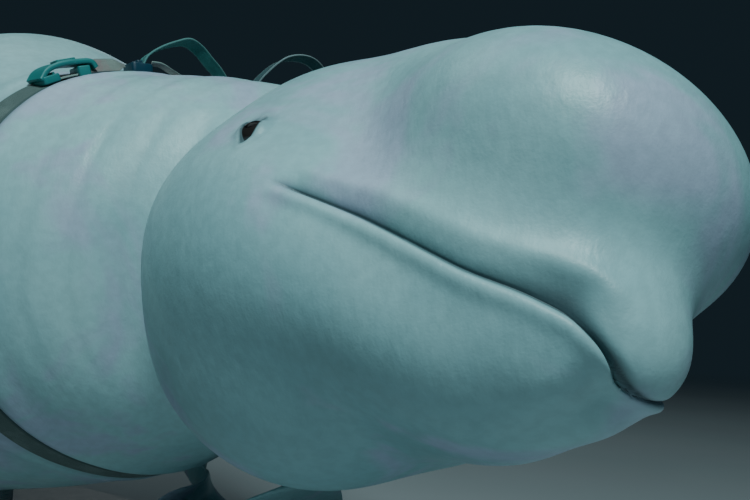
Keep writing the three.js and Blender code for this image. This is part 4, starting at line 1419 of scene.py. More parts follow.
    def body(self) -> tuple[Array, Array]:
        """The rings' points in the straight frame with their painted shade marks, the flukes' rings last.

        Returns:
            Points by ring and column, and marks by ring and column.
        """
        shape = self.shape
        stations = self.stations()
        share = (np.arange(1, self.fan_rows + 1) / self.fan_rows) ** self.tip_crowd
        lean = np.concatenate([math.pi / 2 * (1 - share), np.zeros(len(stations))])
        behind = np.concatenate([np.full(self.fan_rows, -shape.hub[0]), stations])
        height = np.concatenate([np.full(self.fan_rows, shape.hub[2]), shape.axis_height(stations)])
        origins = np.stack([-behind, np.zeros_like(behind), height], -1)
        mouth = shape.mouth_angle(origins, lean)
        angles = self.angles(mouth, 1 - smooth(behind, *self.crowd_ends))
        back, belly, wide = (shape.curves[name](behind) for name in ("back", "belly", "wide"))
        tall = (back - belly) / 2
        oval = np.arctan2(tall[:, None] * np.sin(angles), wide[:, None] * np.cos(angles)) % (2 * math.pi)
        oval = np.where(np.abs(oval - angles) > math.pi, angles, oval)
        cast = mix(angles, oval, smooth(behind, *self.oval_starts)[:, None])
        way = shape.direction(cast, lean[:, None])
        starts = np.broadcast_to(origins[:, None], way.shape)
        flat = starts + way * shape.reach(starts, way)[..., None]
        raised, painted_shade = self.relief(flat)
        points = flat + way * raised[..., None]
        points, painted_shade = self.open_eyes(points, painted_shade)
        points, painted_shade = self.blowhole.sink(points, painted_shade)
        v = np.arange(1, self.fluke_rows + 1) / self.fluke_rows
        lobes = self.flukes.points(v[:, None], angles[-1][None])
        return np.concatenate([points, lobes]), np.concatenate([painted_shade, np.zeros(lobes.shape[:2])])

    def hole_loop(self, side: int) -> tuple[Array, Array, Array]:
        """The opening that a flipper grows from: its border, from its front edge's middle, and its cells.

        Args:
            side: 1 left, -1 right.

        Returns:
            Border vertex numbers in order, and the rows and columns of the cells taken out.
        """
        stations = self.stations()
        start, end, span = self.hole
        first = self.fan_rows + int(np.argmin(np.abs(stations - start)))
        last = self.fan_rows + int(np.argmin(np.abs(stations - end)))
        degrees = self.hole_angle if side > 0 else 180 - self.hole_angle
        middle = round((degrees % 360) / 360 * self.columns)
        low, high = middle - span // 2, middle + span // 2
        up = 1 if side > 0 else -1
        a, b = (low, high) if up > 0 else (high, low)
        front = np.arange(middle, b + up, up)
        rows = np.arange(first + 1, last)
        rear = np.arange(b, a - up, -up)
        close = np.arange(a, middle, up)
        sides = (np.full(len(edge), row) for edge, row in ((front, first), (rear, last), (close, first)))
        row_front, row_rear, row_close = sides
        r = np.concatenate([row_front, rows, row_rear, rows[::-1], row_close])
        c = np.concatenate([front, np.full(len(rows), b), rear, np.full(len(rows), a), close])
        border = r * self.columns + c % self.columns
        return border, np.arange(first, last), np.arange(low, high) % self.columns

    def grow_flipper(self, posed: Array, flipper: FlipperShape) -> tuple[Array, Array, Array, Array]:
        """Bridges from the border of the opening to the blade, then runs the blade out to its tip.

        The bridge is a cubic from each border point, leaving along the skin towards the opening's middle, to
        its point on the blade, arriving along the blade.

        Args:
            posed: the body's posed points by ring and column, in millimetres.
            flipper: the flipper's shape.

        Returns:
            New points, quads, triangles and the rows and columns taken out of the body.
        """
        border, rows, columns = self.hole_loop(flipper.side)
        count = len(border)
        flat = posed.reshape(-1, 3)
        angles = 2 * math.pi * np.arange(count) / count
        first, count_round, power = self.rounding
        rounding = np.cos(np.linspace(first, math.pi / 2, count_round)) ** power
        straight = np.linspace(self.joins, self.rounded_from, self.blade_rows)
        shares = np.concatenate([straight, 1 - (1 - self.rounded_from) * rounding])
        blade = self.pose.trunk(flipper.sections(shares, angles))
        ahead = self.pose.trunk(flipper.sections([self.joins + self.joins_ahead], angles))[0]
        start, end = flat[border], blade[0]
        middle = start.mean(0)
        way_in = unit(middle - start)
        span = np.linalg.norm(end - start, axis=1, keepdims=True)
        at_body, at_blade = self.pulls
        leave, arrive = way_in * span * at_body, unit(ahead - end) * span * at_blade
        u = np.linspace(0, 1, self.bridge_rows + 2)[1:-1, None, None]
        bridge = (
            (2 * u**3 - 3 * u**2 + 1) * start + (u**3 - 2 * u**2 + u) * leave
            + (-2 * u**3 + 3 * u**2) * end + (u**3 - u**2) * arrive
        )
        grown = np.concatenate([bridge, blade])
        tip = grown[-1].mean(0, keepdims=True)
        fresh = np.concatenate([grown.reshape(-1, 3), tip])
        index = np.concatenate([border, len(flat) + np.arange(len(grown) * count)])
        quads = index[grid_quads(len(grown) + 1, count, wrap_columns=True)]
        last = len(flat) + (len(grown) - 1) * count + np.arange(count)
        cap = fan(len(flat) + len(grown) * count, last)
        return fresh, quads, cap, np.stack([np.repeat(rows, len(columns)), np.tile(columns, len(rows))])

    def build(self) -> Surface:
        """Joins rings, flippers and flukes into one closed surface.

        Returns:
            The skin, in metres.
        """
        points, painted_shade = self.body()
        posed = self.pose.body(points)
        rows, n = posed.shape[:2]
        quads = grid_quads(rows, n, wrap_columns=True).reshape(rows - 1, n, 4)
        keep = np.ones((rows - 1, n), bool)
        places, marks = [posed.reshape(-1, 3)], [painted_shade.ravel()]
        extra_quads, triangles = [], []
        for flipper in self.flippers:
            fresh, sides, cap, out = self.grow_flipper(posed, flipper)
            keep[out[0], out[1]] = False
            offset = sum(len(p) for p in places) - rows * n
            moved = [np.where(f >= rows * n, f + offset, f) for f in (sides, cap)]
            if flipper.side < 0:
                moved = [f[:, ::-1] for f in moved]
            extra_quads.append(moved[0][:, ::-1])
            triangles.append(moved[1][:, ::-1])
            places.append(fresh)
            marks.append(np.zeros(len(fresh)))
        tip = self.shape.hub + self.shape.direction(0.0, math.pi / 2) * self.shape.reach(
            np.array([self.shape.hub]), self.shape.direction(np.zeros(1), np.full(1, math.pi / 2))
        )
        tip_number = sum(len(p) for p in places)
        places.append(self.pose.body((tip - np.array([self.tip_inset, 0, 0]))[None]))
        # Painted shade on the beak's tip point.
        marks.append(np.full(1, self.tip_mark))
        triangles.append(fan(tip_number, np.arange(n))[:, ::-1])
        last = (rows - 1) * n
        j = np.arange(1, n // 2 - 1)
        seam = np.stack([last + j, last + j + 1, last + n - j - 1, last + n - j], -1)
        far = last + n // 2
        ends = np.array([[last, last + 1, last + n - 1], [far - 1, far, far + 1]])
        quads = np.concatenate([quads[keep], seam, *extra_quads])
        triangles = np.concatenate([*triangles, ends])
        everywhere = np.concatenate(places)
        corners = np.concatenate([quads.ravel(), triangles.ravel()])
        used, numbers = np.unique(corners, return_inverse=True)
        quads, triangles = numbers[: quads.size].reshape(-1, 4), numbers[quads.size :].reshape(-1, 3)
        painted_shade = np.concatenate(marks)[used]
        return Surface(everywhere[used] * MM, quads, triangles, {"painted_shade": painted_shade}).facing_out()


@dataclass
class Eyeball:
    """One eye: a ball with a low cornea, turned outwards."""

    shape: BodyShape
    pose: Pose
    eyes: EyeSet
    side: int
    bulge: float = 0.8
    rings: int = 40
    around: int = 64

    def build(self) -> Surface:
        """Rings from the gaze axis back: radius ball plus a hump of bulge at the front.

        Returns:
            The ball, in metres, with its gaze marks.
        """
        centre, along, across, out = self.eyes.frame(self.shape, self.side)
        rings, around = self.rings, self.around
        angle = np.linspace(0, math.pi, rings + 2)[1:-1]
        turn = 2 * math.pi * np.arange(around) / around
        radius = self.eyes.ball + self.bulge * bell(angle, 0.5)
        flat = np.stack([np.cos(turn), np.sin(turn)], -1)
        side = flat[None, :, :1] * along + flat[None, :, 1:] * across
        way = np.cos(angle)[:, None, None] * out + np.sin(angle)[:, None, None] * side
        points = centre + radius[:, None, None] * way
        poles = centre + np.array([[self.eyes.ball + self.bulge], [-self.eyes.ball]]) * out
        everywhere = self.pose.body(np.concatenate([points.reshape(-1, 3), poles])) * MM
        caps = end_fans(rings, around)
        gaze = np.concatenate([np.repeat(angle, around), [0, math.pi]])
        quads = grid_quads(rings, around, wrap_columns=True)
        return Surface(everywhere, quads, caps, {"gaze": gaze}).facing_out()


# Harness


WEAVE_WIDTH = 0.027


def ribbon(path: Array, out: Array, across: Array, width: Array, thick: float, closed: bool) -> Surface:
    """A woven band with rounded, slightly thicker edges, carried along a path.

    Args:
        path: middle line, in metres.
        out: unit vectors off the face, one for each point.
        across: unit vectors across the band.
        width: width at each point.
        thick: thickness.
        closed: whether the band is a ring.

    Returns:
        The band's closed surface with its weave map.
    """
    share = np.array([-0.5, -0.485, -0.44, -0.40, -0.2, 0.0, 0.2, 0.40, 0.44, 0.485, 0.5])
    half = np.array([0.0, 0.42, 0.56, 0.5, 0.47, 0.47, 0.47, 0.5, 0.56, 0.42, 0.0])
    s = np.concatenate([share, share[-2:0:-1]])
    h = np.concatenate([half, -half[-2:0:-1]]) * thick
    width = np.broadcast_to(width, len(path))
    points = path[:, None] + (s[None] * width[:, None])[..., None] * across[:, None]
    points = points + h[None, :, None] * out[:, None]
    rows, columns = points.shape[:2]
    length = np.concatenate([[0], np.cumsum(np.linalg.norm(np.diff(path, axis=0), axis=1))])
    if closed:
        length = np.append(length, length[-1] + np.linalg.norm(path[0] - path[-1]))
    quads = grid_quads(rows, columns, closed, True)
    i, j = np.divmod(np.arange(len(quads)), columns)
    v = np.append(s, s[0] + 1e-6)
    side = np.stack([v[j], v[j + 1], v[j + 1], v[j]], -1) * WEAVE_WIDTH
    down = np.stack([length[i], length[i], length[i + 1], length[i + 1]], -1)
    weave = np.stack([down, side], -1)
    flat = points.reshape(-1, 3)
    triangles = np.zeros((0, 3), int)
    if not closed:
        flat = np.concatenate([flat, points[0].mean(0, keepdims=True), points[-1].mean(0, keepdims=True)])
        triangles = end_fans(rows, columns)
    corners = np.concatenate([weave.reshape(-1, 2), np.zeros((triangles.size, 2))])
    surface = Surface(flat, quads, triangles)
    if volume_of(flat, quads, triangles) < 0:
        surface.quads, surface.triangles = quads[:, ::-1], triangles[:, ::-1]
        corners = np.concatenate([weave[:, ::-1].reshape(-1, 2), np.zeros((triangles.size, 2))])
    surface.weave = corners
    return surface


CORNER_STEPS = 6
OUTLINE = 4 * CORNER_STEPS


def rounded_outline(length: float, width: float, corner: float) -> Array:
    """A rectangle with rounded corners, from the middle of its +X side round by +Y.

    Args:
        length: size along X.
        width: size along Y.
        corner: corner radius.

    Returns:
        OUTLINE points.
    """
    x, y = length / 2 - corner, width / 2 - corner
    quarter = np.linspace(0, math.pi / 2, CORNER_STEPS)
    arcs = []
    for k, (cx, cy) in enumerate(((x, y), (-x, y), (-x, -y), (x, -y))):
        turn = quarter + k * math.pi / 2
        arcs.append(np.stack([cx + corner * np.cos(turn), cy + corner * np.sin(turn)], -1))
    return np.concatenate(arcs)


def level_ring(length: float, width: float, corner: float, height: float) -> Array:
    """A rounded outline at a height."""
    return np.column_stack([rounded_outline(length, width, corner), np.full(OUTLINE, height)])


def slab(
    length: float, width: float, thick: float, corner: float, round_edge: float,
) -> tuple[Array, Array, Array]:
    """A flat piece with rounded corners and rounded upper and lower edges, lying on its own Z = 0.

    The outline is drawn in by r (1 - cos a) while the height goes by r sin a, at both faces.

    Args:
        length: size along X.
        width: size along Y.
        thick: size along Z.
        corner: corner radius.
        round_edge: radius of the edges.

    Returns:
        Points, quads and triangles.
    """
    a = np.linspace(0, math.pi / 2, 5)
    inset = np.concatenate([round_edge * (1 - np.sin(a)), round_edge * (1 - np.cos(a))])
    height = np.concatenate([round_edge * (1 - np.cos(a)), thick - round_edge + round_edge * np.sin(a)])
    rings = [
        level_ring(length - 2 * i, width - 2 * i, max(corner - i, 0.2), z)
        for i, z in zip(inset, height)
    ]
    points = np.concatenate(rings + [[[0, 0, 0], [0, 0, thick]]])
    return points, grid_quads(len(rings), OUTLINE, wrap_columns=True), end_fans(len(rings), OUTLINE)


def windowed_slab(
    length: float, width: float, thick: float, corner: float, window: tuple, round_edge: float,
) -> tuple[Array, Array, Array]:
    """A rounded frame round a window: the outline and the window's outline joined by edge profiles.

    Args:
        length: size along X.
        width: size along Y.
        thick: size along Z.
        corner: corner radius.
        window: the window's length, width and place along X.
        round_edge: radius of the edges.

    Returns:
        Points, quads and no triangles.
    """
    a = np.linspace(0, math.pi / 2, 4)
    outer = list(zip(round_edge * (1 - np.sin(a)), round_edge * (1 - np.cos(a))))
    outer += list(zip(round_edge * (1 - np.cos(a)), thick - round_edge + round_edge * np.sin(a)))
    rings = [level_ring(length - 2 * i, width - 2 * i, max(corner - i, 0.3), z) for i, z in outer]
    inner_length, inner_width, at = window
    for i, z in reversed(outer):
        inner = (size + 2 * i - 2 * round_edge for size in (inner_length, inner_width))
        rings.append(level_ring(*inner, 1.5 + i, z) + [at, 0, 0])
    points = np.concatenate(rings)
    return points, grid_quads(len(rings), OUTLINE, True, True), np.zeros((0, 3), int)


def joined(parts: Sequence[Surface]) -> Surface:
    """Several closed parts as one surface, their face numbers moved past the points before them.

    Args:
        parts: the closed parts.

    Returns:
        One surface that holds them all.
    """
    counts = np.cumsum([0] + [len(part.points) for part in parts[:-1]])
    quads = [part.quads + offset for part, offset in zip(parts, counts)]
    triangles = [part.triangles.reshape(-1, 3) + offset for part, offset in zip(parts, counts)]
    points = [part.points for part in parts]
    return Surface(np.concatenate(points), np.concatenate(quads), np.concatenate(triangles))


@dataclass
class Harness:
    """Neck strap with its bridge buckle, standing pale end, block, and two standing webbing loops.

    Places on it are an angle in degrees round the strap, a lift off the skin and a step forward.
    """

    shape: BodyShape
    pose: Pose
    line: StrapLine
    strap_thick: float = 2.9
    strap_points: int = 240
    strap_lifts: tuple = (-0.4, 2.4, 1.0)
    loop_width: float = 20.0
    loop_thick: float = 2.6
    loop_turned: tuple = (12.0, 45.0)
    loop_turning: tuple = (0.2, 0.65)
    bridge: tuple = (
        (153.8, 9, 0), (151.5, 17, 0), (148.5, 20.5, 0), (144.5, 20.5, 0), (141.2, 17.5, 0), (140.6, 9, 0),
    )
    bridge_size: tuple = (35.0, 6.4)
    plate: tuple = (26.0, 26.0, 4.0, 3.0, 1.2)
    plate_at: tuple = (145.8, 22.6)
    foot: tuple = (17.0, 37.0, 15.0, 3.5, 1.8)
    foot_at: tuple = (143.1, -1.0)
    slotted: tuple = (25.0, 37.0, 10.0, 4.0, (7.0, 26.0, -2.0), 1.6)
    slotted_at: tuple = (151.4, 0.5)
    tooth: tuple = (3.2, 30.0, 4.0, 1.0, 0.8)
    teeth_at: tuple = ((150.1, 9.4), (152.0, 9.4))
    mount: float = 128.8
    block: tuple = (32.0, 34.0, 20.0, 5.0, 2.4)
    block_lift: float = -1.0
    cap: tuple = (14.0, 20.0, 6.0, 3.0, 1.6)
    cap_back: float = 0.6
    cap_lift: float = 18.0
    end_runs: tuple = (151.5, 132.7)
    end_turns: tuple = (0.42, 0.66)
    end_angle: float = 78.0
    end_lift: tuple = (5.6, 9.0)
    end_forward: float = 5.0
    end_size: tuple = (19.0, 2.4)
    end_point: tuple = (0.75, 0.86)
    shadow_runs: tuple = (145.5, 104.0)
    shadow_place: tuple = (4.4, 10.0)
    shadow_size: tuple = (18.0, 4.2)
    tape: tuple = (
        (126.6, 21.2, 14), (124.6, 21.0, 17), (121.6, 15.0, 18), (118.2, 10.4, 17), (116.4, 7.6, 15),
    )
    tape_size: tuple = (9.0, 2.0)
    tape_turned: tuple = (35.0, 55.0)
    feeler: float = 4.0
    webbings: tuple = (
        ("strap_webbing", (0.10, 0.17, 0.165), (0.17, 0.25, 0.24), (0.07, 0.13, 0.13)),
        ("loop_webbing", (0.015, 0.20, 0.20), (0.03, 0.30, 0.28), (0.14, 0.34, 0.33)),
        # Painted shade: the far loop is the loop webbing painted darker.
        ("loop_webbing_shaded", (0.008, 0.085, 0.10), (0.02, 0.13, 0.15), (0.32, 0.42, 0.44)),
        ("pale_band", (0.42, 0.50, 0.46), (0.52, 0.40, 0.40), (0.30, 0.42, 0.40)),
        # Painted shadow: the strap webbing painted near black, for the band along the strap's front edge.
        ("strap_shadow_webbing", (0.010, 0.028, 0.045), (0.03, 0.06, 0.08), (0.02, 0.045, 0.06)),
    )
    plastics: tuple = (
        ("buckle_plastic", (0.012, 0.20, 0.20), (0.07, 0.34, 0.32)),
        ("mount_plastic", (0.010, 0.045, 0.075), (0.05, 0.12, 0.17)),
    )
    handle: tuple = (
        (128.6, 17, 6), (127.2, 30, 8), (123.6, 46, 10), (119.2, 60.6, 10), (115, 72, 10), (111.2, 70, 8),
        (107.7, 62.4, 6), (103.3, 56, 3), (99.4, 44, 1), (97, 22, 0), (96.2, -3, 0),
    )
    far: tuple = (
        (93, -3, 2), (93.8, 35, 18), (94.6, 78, 44), (93.2, 112, 70), (88.5, 130, 84),
        (82, 126, 84), (77.5, 92, 64), (77, 45, 34), (78, -3, 2),
    )

    def laid(self, part: tuple[Array, Array, Array], degrees: float, lift: float) -> Surface:
        """Lays a flat part on the strap: X round the body, Y forward, Z outward.

        Args:
            part: points, quads and triangles.
            degrees: where on the ring.
            lift: height over the skin.

        Returns:
            The part's surface in metres.
        """
        points, quads, triangles = part
        at, before, after = self.line.on(self.shape, np.array([degrees, degrees - 1, degrees + 1]), lift)
        turn = unit(after - before)
        out = unit(np.cross(turn, [1.0, 0, 0]))
        ahead = np.cross(out, turn)
        placed = at + points[:, :1] * turn + points[:, 1:2] * ahead + points[:, 2:] * out
        return Surface(self.pose.body(placed) * MM, quads, triangles).facing_out()

    def strap(self) -> Surface:
        """The neck strap: a ring on the strap line, lying on the skin.

        Returns:
            The ring, in metres.
        """
        degrees = np.linspace(0, 360, self.strap_points + 1)[:-1]
        under, over, beside = self.strap_lifts
        low = self.line.on(self.shape, degrees, under)
        high = self.line.on(self.shape, degrees, over)
        ahead = self.line.on(self.shape, degrees, beside, self.feeler)
        aft = self.line.on(self.shape, degrees, beside, -self.feeler)
        a, b, c, d = (self.pose.body(p) * MM for p in (low, high, ahead, aft))
        size = self.line.width * MM, self.strap_thick * MM
        return ribbon((a + b) / 2, unit(b - a), unit(c - d), *size, True)

    def frames(self, degrees: Array, lift: Array, forward: float) -> tuple[Array, Array, Array]:
        """A line beside the strap with its unit vectors outwards and forwards, in metres.

        Args:
            degrees: angles round the strap.
            lift: height over the skin.
            forward: step forward.

        Returns:
            Places, outward vectors and forward vectors.
        """
        path = self.line.on(self.shape, degrees, lift, forward)
        high = self.line.on(self.shape, degrees, lift + self.feeler, forward)
        ahead = self.line.on(self.shape, degrees, lift, forward + self.feeler)
        a, b, c = (self.pose.body(p) * MM for p in (path, high, ahead))
        return a, unit(b - a), unit(c - a)

    def strap_end(self) -> Surface:
        """The pale free end: flat on the strap, then turned up on its edge, with a blunt point.

        Returns:
            The band, in metres.
        """
        degrees, share = np.linspace(*self.end_runs, 60), np.linspace(0, 1, 60)
        turned = smooth(share, *self.end_turns)
        turn = (turned * math.radians(self.end_angle))[:, None]
        low, rise = self.end_lift
        path, out, level = self.frames(degrees, low + rise * turned, self.end_forward)
        face = np.cos(turn) * out + np.sin(turn) * level
        across = np.sin(turn) * out - np.cos(turn) * level
        width, thick = self.end_size
        lost, start = self.end_point
        width = width * (1 - lost * smooth(share, start, 1.0))
        return ribbon(path, face, across, width * MM, thick * MM, False)

    def swept(self, places: Sequence[Sequence[float]], width: float, thick: float, turned: tuple) -> Surface:
        """Webbing or a bar carried along a centripetal spline through places on the harness.

        Args:
            places: angle, lift and step forward of each place.
            width: width of the strip.
            thick: its thickness.
            turned: how far its face turns forward at the start and at the end, in degrees.

        Returns:
            The strip's surface in metres.
        """
        knots = self.line.on(self.shape, *(np.array(places, float)[:, k] for k in range(3)))
        knots = np.concatenate([[2 * knots[0] - knots[1]], knots, [2 * knots[-1] - knots[-2]]])
        fine = []
        for k in range(1, len(knots) - 2):
            p = knots[k - 1 : k + 3]
            t = np.concatenate([[0], np.cumsum(np.linalg.norm(np.diff(p, axis=0), axis=1) ** 0.5)])
            u = np.linspace(t[1], t[2], 13)[:-1, None]
            a = [((t[i + 1] - u) * p[i] + (u - t[i]) * p[i + 1]) / (t[i + 1] - t[i]) for i in range(3)]
            b = [((t[i + 2] - u) * a[i] + (u - t[i]) * a[i + 1]) / (t[i + 2] - t[i]) for i in range(2)]
            fine.append(((t[2] - u) * b[0] + (u - t[1]) * b[1]) / (t[2] - t[1]))
        path = np.concatenate([*fine, knots[-2:-1]])
        way = unit(np.gradient(path, axis=0))
        flat = unit(np.cross(way, [1.0, 0, 0]))
        level = np.cross(flat, way)
        turn = np.radians(mix(*turned, smooth(np.linspace(0, 1, len(path)), *self.loop_turning)))[:, None]
        face = np.cos(turn) * flat + np.sin(turn) * level
        a, b, c = (self.pose.body(p) * MM for p in (path, path + face, path + np.cross(face, way)))
        return ribbon(a, unit(b - a), unit(c - a), width * MM, thick * MM, False)

    def loop(self, places: Sequence[Sequence[float]]) -> Surface:
        """A standing loop of webbing."""
        return self.swept(places, self.loop_width, self.loop_thick, self.loop_turned)

    def buckle_feet(self) -> Surface:
        """The block at the buckle's lower end and the slotted end with two teeth at its other one.

        Returns:
            Four closed parts as one surface.
        """
        block = self.laid(slab(*self.foot), *self.foot_at)
        slotted = self.laid(windowed_slab(*self.slotted), *self.slotted_at)
        teeth = [self.laid(slab(*self.tooth), *place) for place in self.teeth_at]
        return joined([block, slotted, *teeth])

    def buckle_bridge(self) -> Surface:
        """The bowed bridge and the plate on its top, as two closed parts."""
        bow = self.swept(self.bridge, *self.bridge_size, (0.0, 0.0))
        return joined([bow, self.laid(slab(*self.plate), *self.plate_at)])

    def mount_parts(self) -> Surface:
        """The loops' block and the low cap on it, as two closed parts."""
        block = self.laid(slab(*self.block), self.mount, self.block_lift)
        return joined([block, self.laid(slab(*self.cap), self.mount - self.cap_back, self.cap_lift)])

    def painted_strap_shadow(self) -> Surface:
        """A dark band of painted shadow along the strap's front edge between the buckle and the block.

        Returns:
            The band, in metres.
        """
        path, out, ahead = self.frames(np.linspace(*self.shadow_runs, 70), *self.shadow_place)
        width, thick = self.shadow_size
        return ribbon(path, out, ahead, width * MM, thick * MM, False)

    def pale_tab(self) -> Surface:
        """A pale tape that runs from the block's top down to the strap."""
        return self.swept(self.tape, *self.tape_size, self.tape_turned)

    def dress(self) -> None:
        """Builds every piece of the harness in its finish, in place of its node or riding on the whale."""
        grey_green, teal, teal_in_shade, pale, strap_shadow = (Webbing(*looks).make() for looks in self.webbings)
        buckle, block = (MouldedPlastic(*looks).make() for looks in self.plastics)
        pieces = (
            (self.strap(), "neck_strap", grey_green, "strap_webbing", "harness_strap"),
            (self.strap_end(), "strap_end_piece", pale, "pale_band", "strap_end"),
            (self.loop(self.handle), "handle_loop_piece", teal, "loop_webbing", "handle_loop"),
            # The far loop takes the loop webbing's slot in its darker, painted shade copy.
            (self.loop(self.far), "far_loop_piece", teal_in_shade, "loop_webbing", "far_loop"),
            (self.buckle_feet(), "buckle_body", buckle, "buckle_plastic", "buckle_frame"),
            (self.buckle_bridge(), "buckle_tongue", buckle, "buckle_plastic", "buckle_latch"),
            (self.mount_parts(), "mount_body", block, "mount_plastic", "mount_block"),
            # A band of painted shadow along the strap's front edge.
            (self.painted_strap_shadow(), "strap_edge_shadow", strap_shadow, "strap_webbing", None),
            (self.pale_tab(), "pale_tape", pale, "pale_band", None),
        )
        for surface, name, material, slot, node in pieces:
            piece = surface.piece(name, material, slot)
            if node:
                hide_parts(node)
            LOG.info("%s: %d faces", name, len(surface.quads) + len(surface.triangles))


# Stand, studio and camera


@dataclass
class Stand:
    """The base slab with an eased edge, and two turned rods with flanges."""

    edge: float = 6.0
    rod: float = 32.0
    flange: float = 85.0
    flange_thick: float = 14.0
    corner: float = 90.0
    paint: tuple = (0.30, 0.32, 0.33)

    def base(self) -> Surface:
        """The slab over its node's box.

        Returns:
            The slab, in metres.
        """
        low, high = (np.array(v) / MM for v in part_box("stand_base"))
        size, middle = high - low, (high + low) / 2
        points, quads, caps = slab(*size, self.corner, self.edge)
        return Surface((points + [middle[0], middle[1], low[2]]) * MM, quads, caps).facing_out()

    def rod_surface(self, node: str) -> Surface:
        """A turned profile: flange with eased edges, a small fillet, and the rod up into the body.

        Args:
            node: the rod's node.

        Returns:
            The rod, in metres.
        """
        low, high = (np.array(v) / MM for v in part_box(node))
        middle, top = (high + low) / 2, high[2] - low[2]
        f, t, r = self.flange, self.flange_thick, self.rod
        profile = np.array([
            [f - 1.5, 0], [f, 1.5], [f, t - 3], [f - 1, t - 1], [f - 3, t], [r + 8, t],
            [r + 4, t + 1.5], [r + 1, t + 5], [r, t + 9], [r, top * 0.5], [r, top - 2],
        ])
        around = 64
        turn = 2 * math.pi * np.arange(around) / around
        ring = np.stack([np.cos(turn), np.sin(turn)], -1)
        rows = len(profile)
        out = profile[:, :1, None] * ring[None]
        up = np.broadcast_to(profile[:, 1:, None], (rows, around, 1))
        points = np.concatenate([out, up], -1).reshape(-1, 3)
        points = np.concatenate([points, [[0, 0, 0], [0, 0, top - 1]]]) + [middle[0], middle[1], low[2]]
        quads = grid_quads(rows, around, wrap_columns=True)
        return Surface(points * MM, quads, end_fans(rows, around)).facing_out()

    def dress(self) -> None:
        """Builds base and rods in place of their nodes."""
        paint = SatinPaint("base_paint", self.paint).make()
        steel = BrushedSteel("rod_metal").make()
        base = self.base().piece("base_slab", paint, "base_paint")
        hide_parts("stand_base")
        for node in ("stand_rod_front", "stand_rod_rear"):
            piece = self.rod_surface(node).piece(node + "_turned", steel, "rod_metal")
            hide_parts(node)
            LOG.info("%s dressed", node)


@dataclass(frozen=True)
class Lamp:
    """A square soft light: where it hangs, what it faces, its side in metres, its watts and its colour."""

    name: str
    place: tuple
    target: tuple
    size: float
    power: float
    colour: tuple

    def hang(self) -> None:
        """Makes the light and turns its face to the target."""
        data = bpy.data.lights.new(self.name, "AREA")
        data.shape, data.size, data.energy, data.color = "SQUARE", self.size, self.power, self.colour
        lamp = bpy.data.objects.new(self.name, data)
        bpy.context.scene.collection.objects.link(lamp)
        back = unit(np.array(self.place) - np.array(self.target))
        right = unit(np.cross([0.0, 1.0, 0.05], back))
        matrix = np.eye(4)
        matrix[:3, :3] = np.stack([right, np.cross(back, right), back], 1)
        matrix[:3, 3] = self.place
        lamp.matrix_world = Matrix(matrix.tolist())


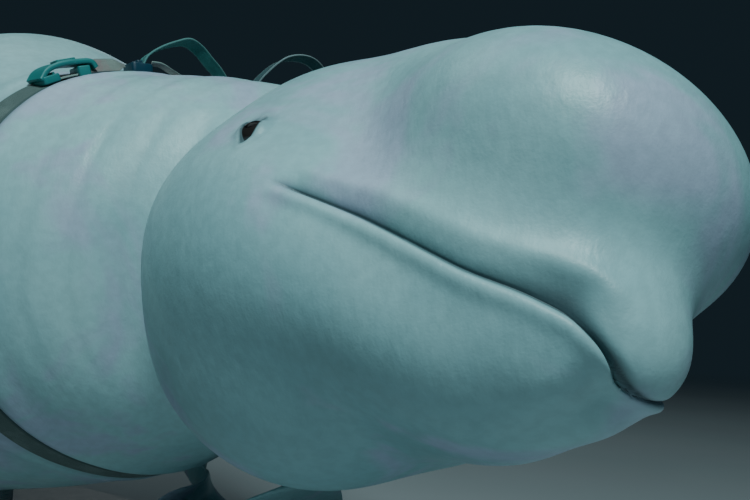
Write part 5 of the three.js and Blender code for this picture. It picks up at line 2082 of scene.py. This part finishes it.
@dataclass
class Studio:
    """A plain floor that fades out of sight, soft light from above and the camera of the photograph."""

    pose: Pose
    lens: float = 33.6
    sensor: float = 36.0
    camera_place: tuple = (302.027, -378.191, -101.792)
    camera_axes: tuple = (
        (0.481784, 0.684203, 0.547495), (-0.165874, -0.542285, 0.823658), (0.860447, -0.487641, -0.147773),
    )
    floor_tones: tuple = ((0.36, 0.40, 0.42), (0.40, 0.44, 0.46))
    floor_rough: float = 0.75
    floor_fades: tuple = (4.0, 11.0)
    floor_rings: tuple = (0.5, 12.0, 24)
    backdrop: tuple = (0.13, 0.25, 0.34, 1.0)
    backdrop_strength: float = 0.06
    lamps: tuple = (
        Lamp("key", (2.85, -1.45, 2.75), (1.55, -0.1, 0.55), 0.9, 76.0, (0.78, 1.0, 1.0)),
        Lamp("top", (0.0, -0.4, 4.0), (0.2, 0.0, 0.5), 2.0, 14.0, (0.80, 1.0, 1.0)),
        Lamp("rim", (-2.5, 3.0, 2.6), (0.4, 0.0, 0.5), 1.8, 14.0, (0.85, 0.98, 1.0)),
    )

    def camera(self) -> None:
        """Places the camera, found in the head's own frame, with the head's pose."""
        data = bpy.data.cameras.new("camera")
        data.lens, data.sensor_width, data.sensor_fit = self.lens, self.sensor, "HORIZONTAL"
        data.clip_start, data.clip_end = 0.02, 200.0
        camera = bpy.data.objects.new("camera", data)
        bpy.context.scene.collection.objects.link(camera)
        place = self.pose.body(np.array([self.camera_place]))[0] * MM
        axes = np.array(self.camera_axes) @ self.pose.parts["whole"].T
        matrix = np.eye(4)
        matrix[:3, :3], matrix[:3, 3] = axes.T, place
        camera.matrix_world = Matrix(matrix.tolist())
        bpy.context.scene.camera = camera
        LOG.info("camera at %s", np.round(place, 3))

    def floor(self) -> None:
        """A disc of floor whose rim fades away, so that no horizon shows."""
        r = Recipe("floor")
        distance = r.add("ShaderNodeVectorMath", {0: r.place}, operation="LENGTH").outputs["Value"]
        tone = r.blend(r.varied(0.8, 3.0), *self.floor_tones)
        r.finish(tone, self.floor_rough)
        clear = r.add("ShaderNodeBsdfTransparent")
        share = r.range(distance, *self.floor_fades)
        fade = r.add("ShaderNodeMixShader", {0: share, 1: r.shader.outputs[0], 2: clear.outputs[0]})
        output = next(node for node in r.tree.nodes if node.type == "OUTPUT_MATERIAL")
        r.tree.links.new(fade.outputs[0], output.inputs[0])
        around, rings = 96, np.linspace(*self.floor_rings)
        turn = 2 * math.pi * np.arange(around) / around
        ring = np.stack([np.cos(turn), np.sin(turn), np.zeros(around)], -1)
        points = np.concatenate([(rings[:, None, None] * ring).reshape(-1, 3), np.zeros((1, 3))])
        mesh = bpy.data.meshes.new("floor")
        middle = fan(len(points) - 1, np.arange(around))[:, ::-1]
        faces = grid_quads(len(rings), around, wrap_columns=True).tolist() + middle.tolist()
        mesh.from_pydata(points.tolist(), [], faces)
        mesh.materials.append(r.material)
        floor = bpy.data.objects.new("floor", mesh)
        bpy.context.scene.collection.objects.link(floor)

    def world(self) -> None:
        """A plain even backdrop that also gives the weak fill."""
        world = bpy.data.worlds.new("studio")
        bpy.context.scene.world = world
        world.use_nodes = True
        background = next(node for node in world.node_tree.nodes if node.type == "BACKGROUND")
        background.inputs[0].default_value = self.backdrop
        background.inputs[1].default_value = self.backdrop_strength

    def dress(self) -> None:
        """Camera, floor, backdrop and lights."""
        self.camera()
        self.floor()
        self.world()
        for lamp in self.lamps:
            lamp.hang()


def settle_pose(pose: Pose, shape: BodyShape, eyes: EyeSet) -> None:
    """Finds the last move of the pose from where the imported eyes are.

    Args:
        pose: the pose to settle.
        shape: the body.
        eyes: the eyes' places.
    """
    found = []
    for side, node in ((Side.LEFT, "eye_left"), (Side.RIGHT, "eye_right")):
        low, high = (np.array(corner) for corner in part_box(node))
        centre = pose.body(eyes.centre(shape, side.value)[None])[0]
        found.append((low + high) / 2 / MM - centre)
    pose.settle(np.mean(found, 0))
    apart = np.abs(found[0] - found[1]).max()
    LOG.info("pose settled at %s, eyes agree within %.2f mm", np.round(pose.parts["shift"], 1), apart)


def main() -> None:
    """Builds the whale, its harness and its stand, then the studio."""
    logging.basicConfig(level=logging.INFO, format="%(message)s")
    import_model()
    shape, pose, eyes, line = BodyShape(), Pose(), EyeSet(), StrapLine()
    settle_pose(pose, shape, eyes)
    left = FlipperShape(
        Side.LEFT.value, (62, 285, -200), (402, -100, -70), (0.95, -0.1, -0.3), (0.1, -0.95, -0.1),
    )
    right = FlipperShape(
        Side.RIGHT.value, (-30, 210, -120), (-230, 370, -150), (0.88, 0.45, 0.1), (0.88, 0.45, 0.1),
    )
    skin = Skin(shape, pose, eyes, line, FlukeShape(), (left, right)).build()
    whale = skin.piece("whale_body", WhaleSkin().make(), "whale_skin")
    flesh = (
        "head", "melon", "lower_jaw", "neck", "chest", "torso", "rear_torso", "tail_stock",
        "fluke_left", "fluke_right", "flipper_left", "flipper_right",
    )
    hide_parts(*flesh)
    LOG.info("skin: %d quads, %d triangles", len(skin.quads), len(skin.triangles))
    gloss = EyeGloss().make()
    for side, node in ((Side.LEFT, "eye_left"), (Side.RIGHT, "eye_right")):
        ball = Eyeball(shape, pose, eyes, side.value).build().piece(node + "_ball", gloss, "eye")
        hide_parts(node)
    Harness(shape, pose, line).dress()
    Stand().dress()
    Studio(pose).dress()


if __name__ == "__main__":
    main()
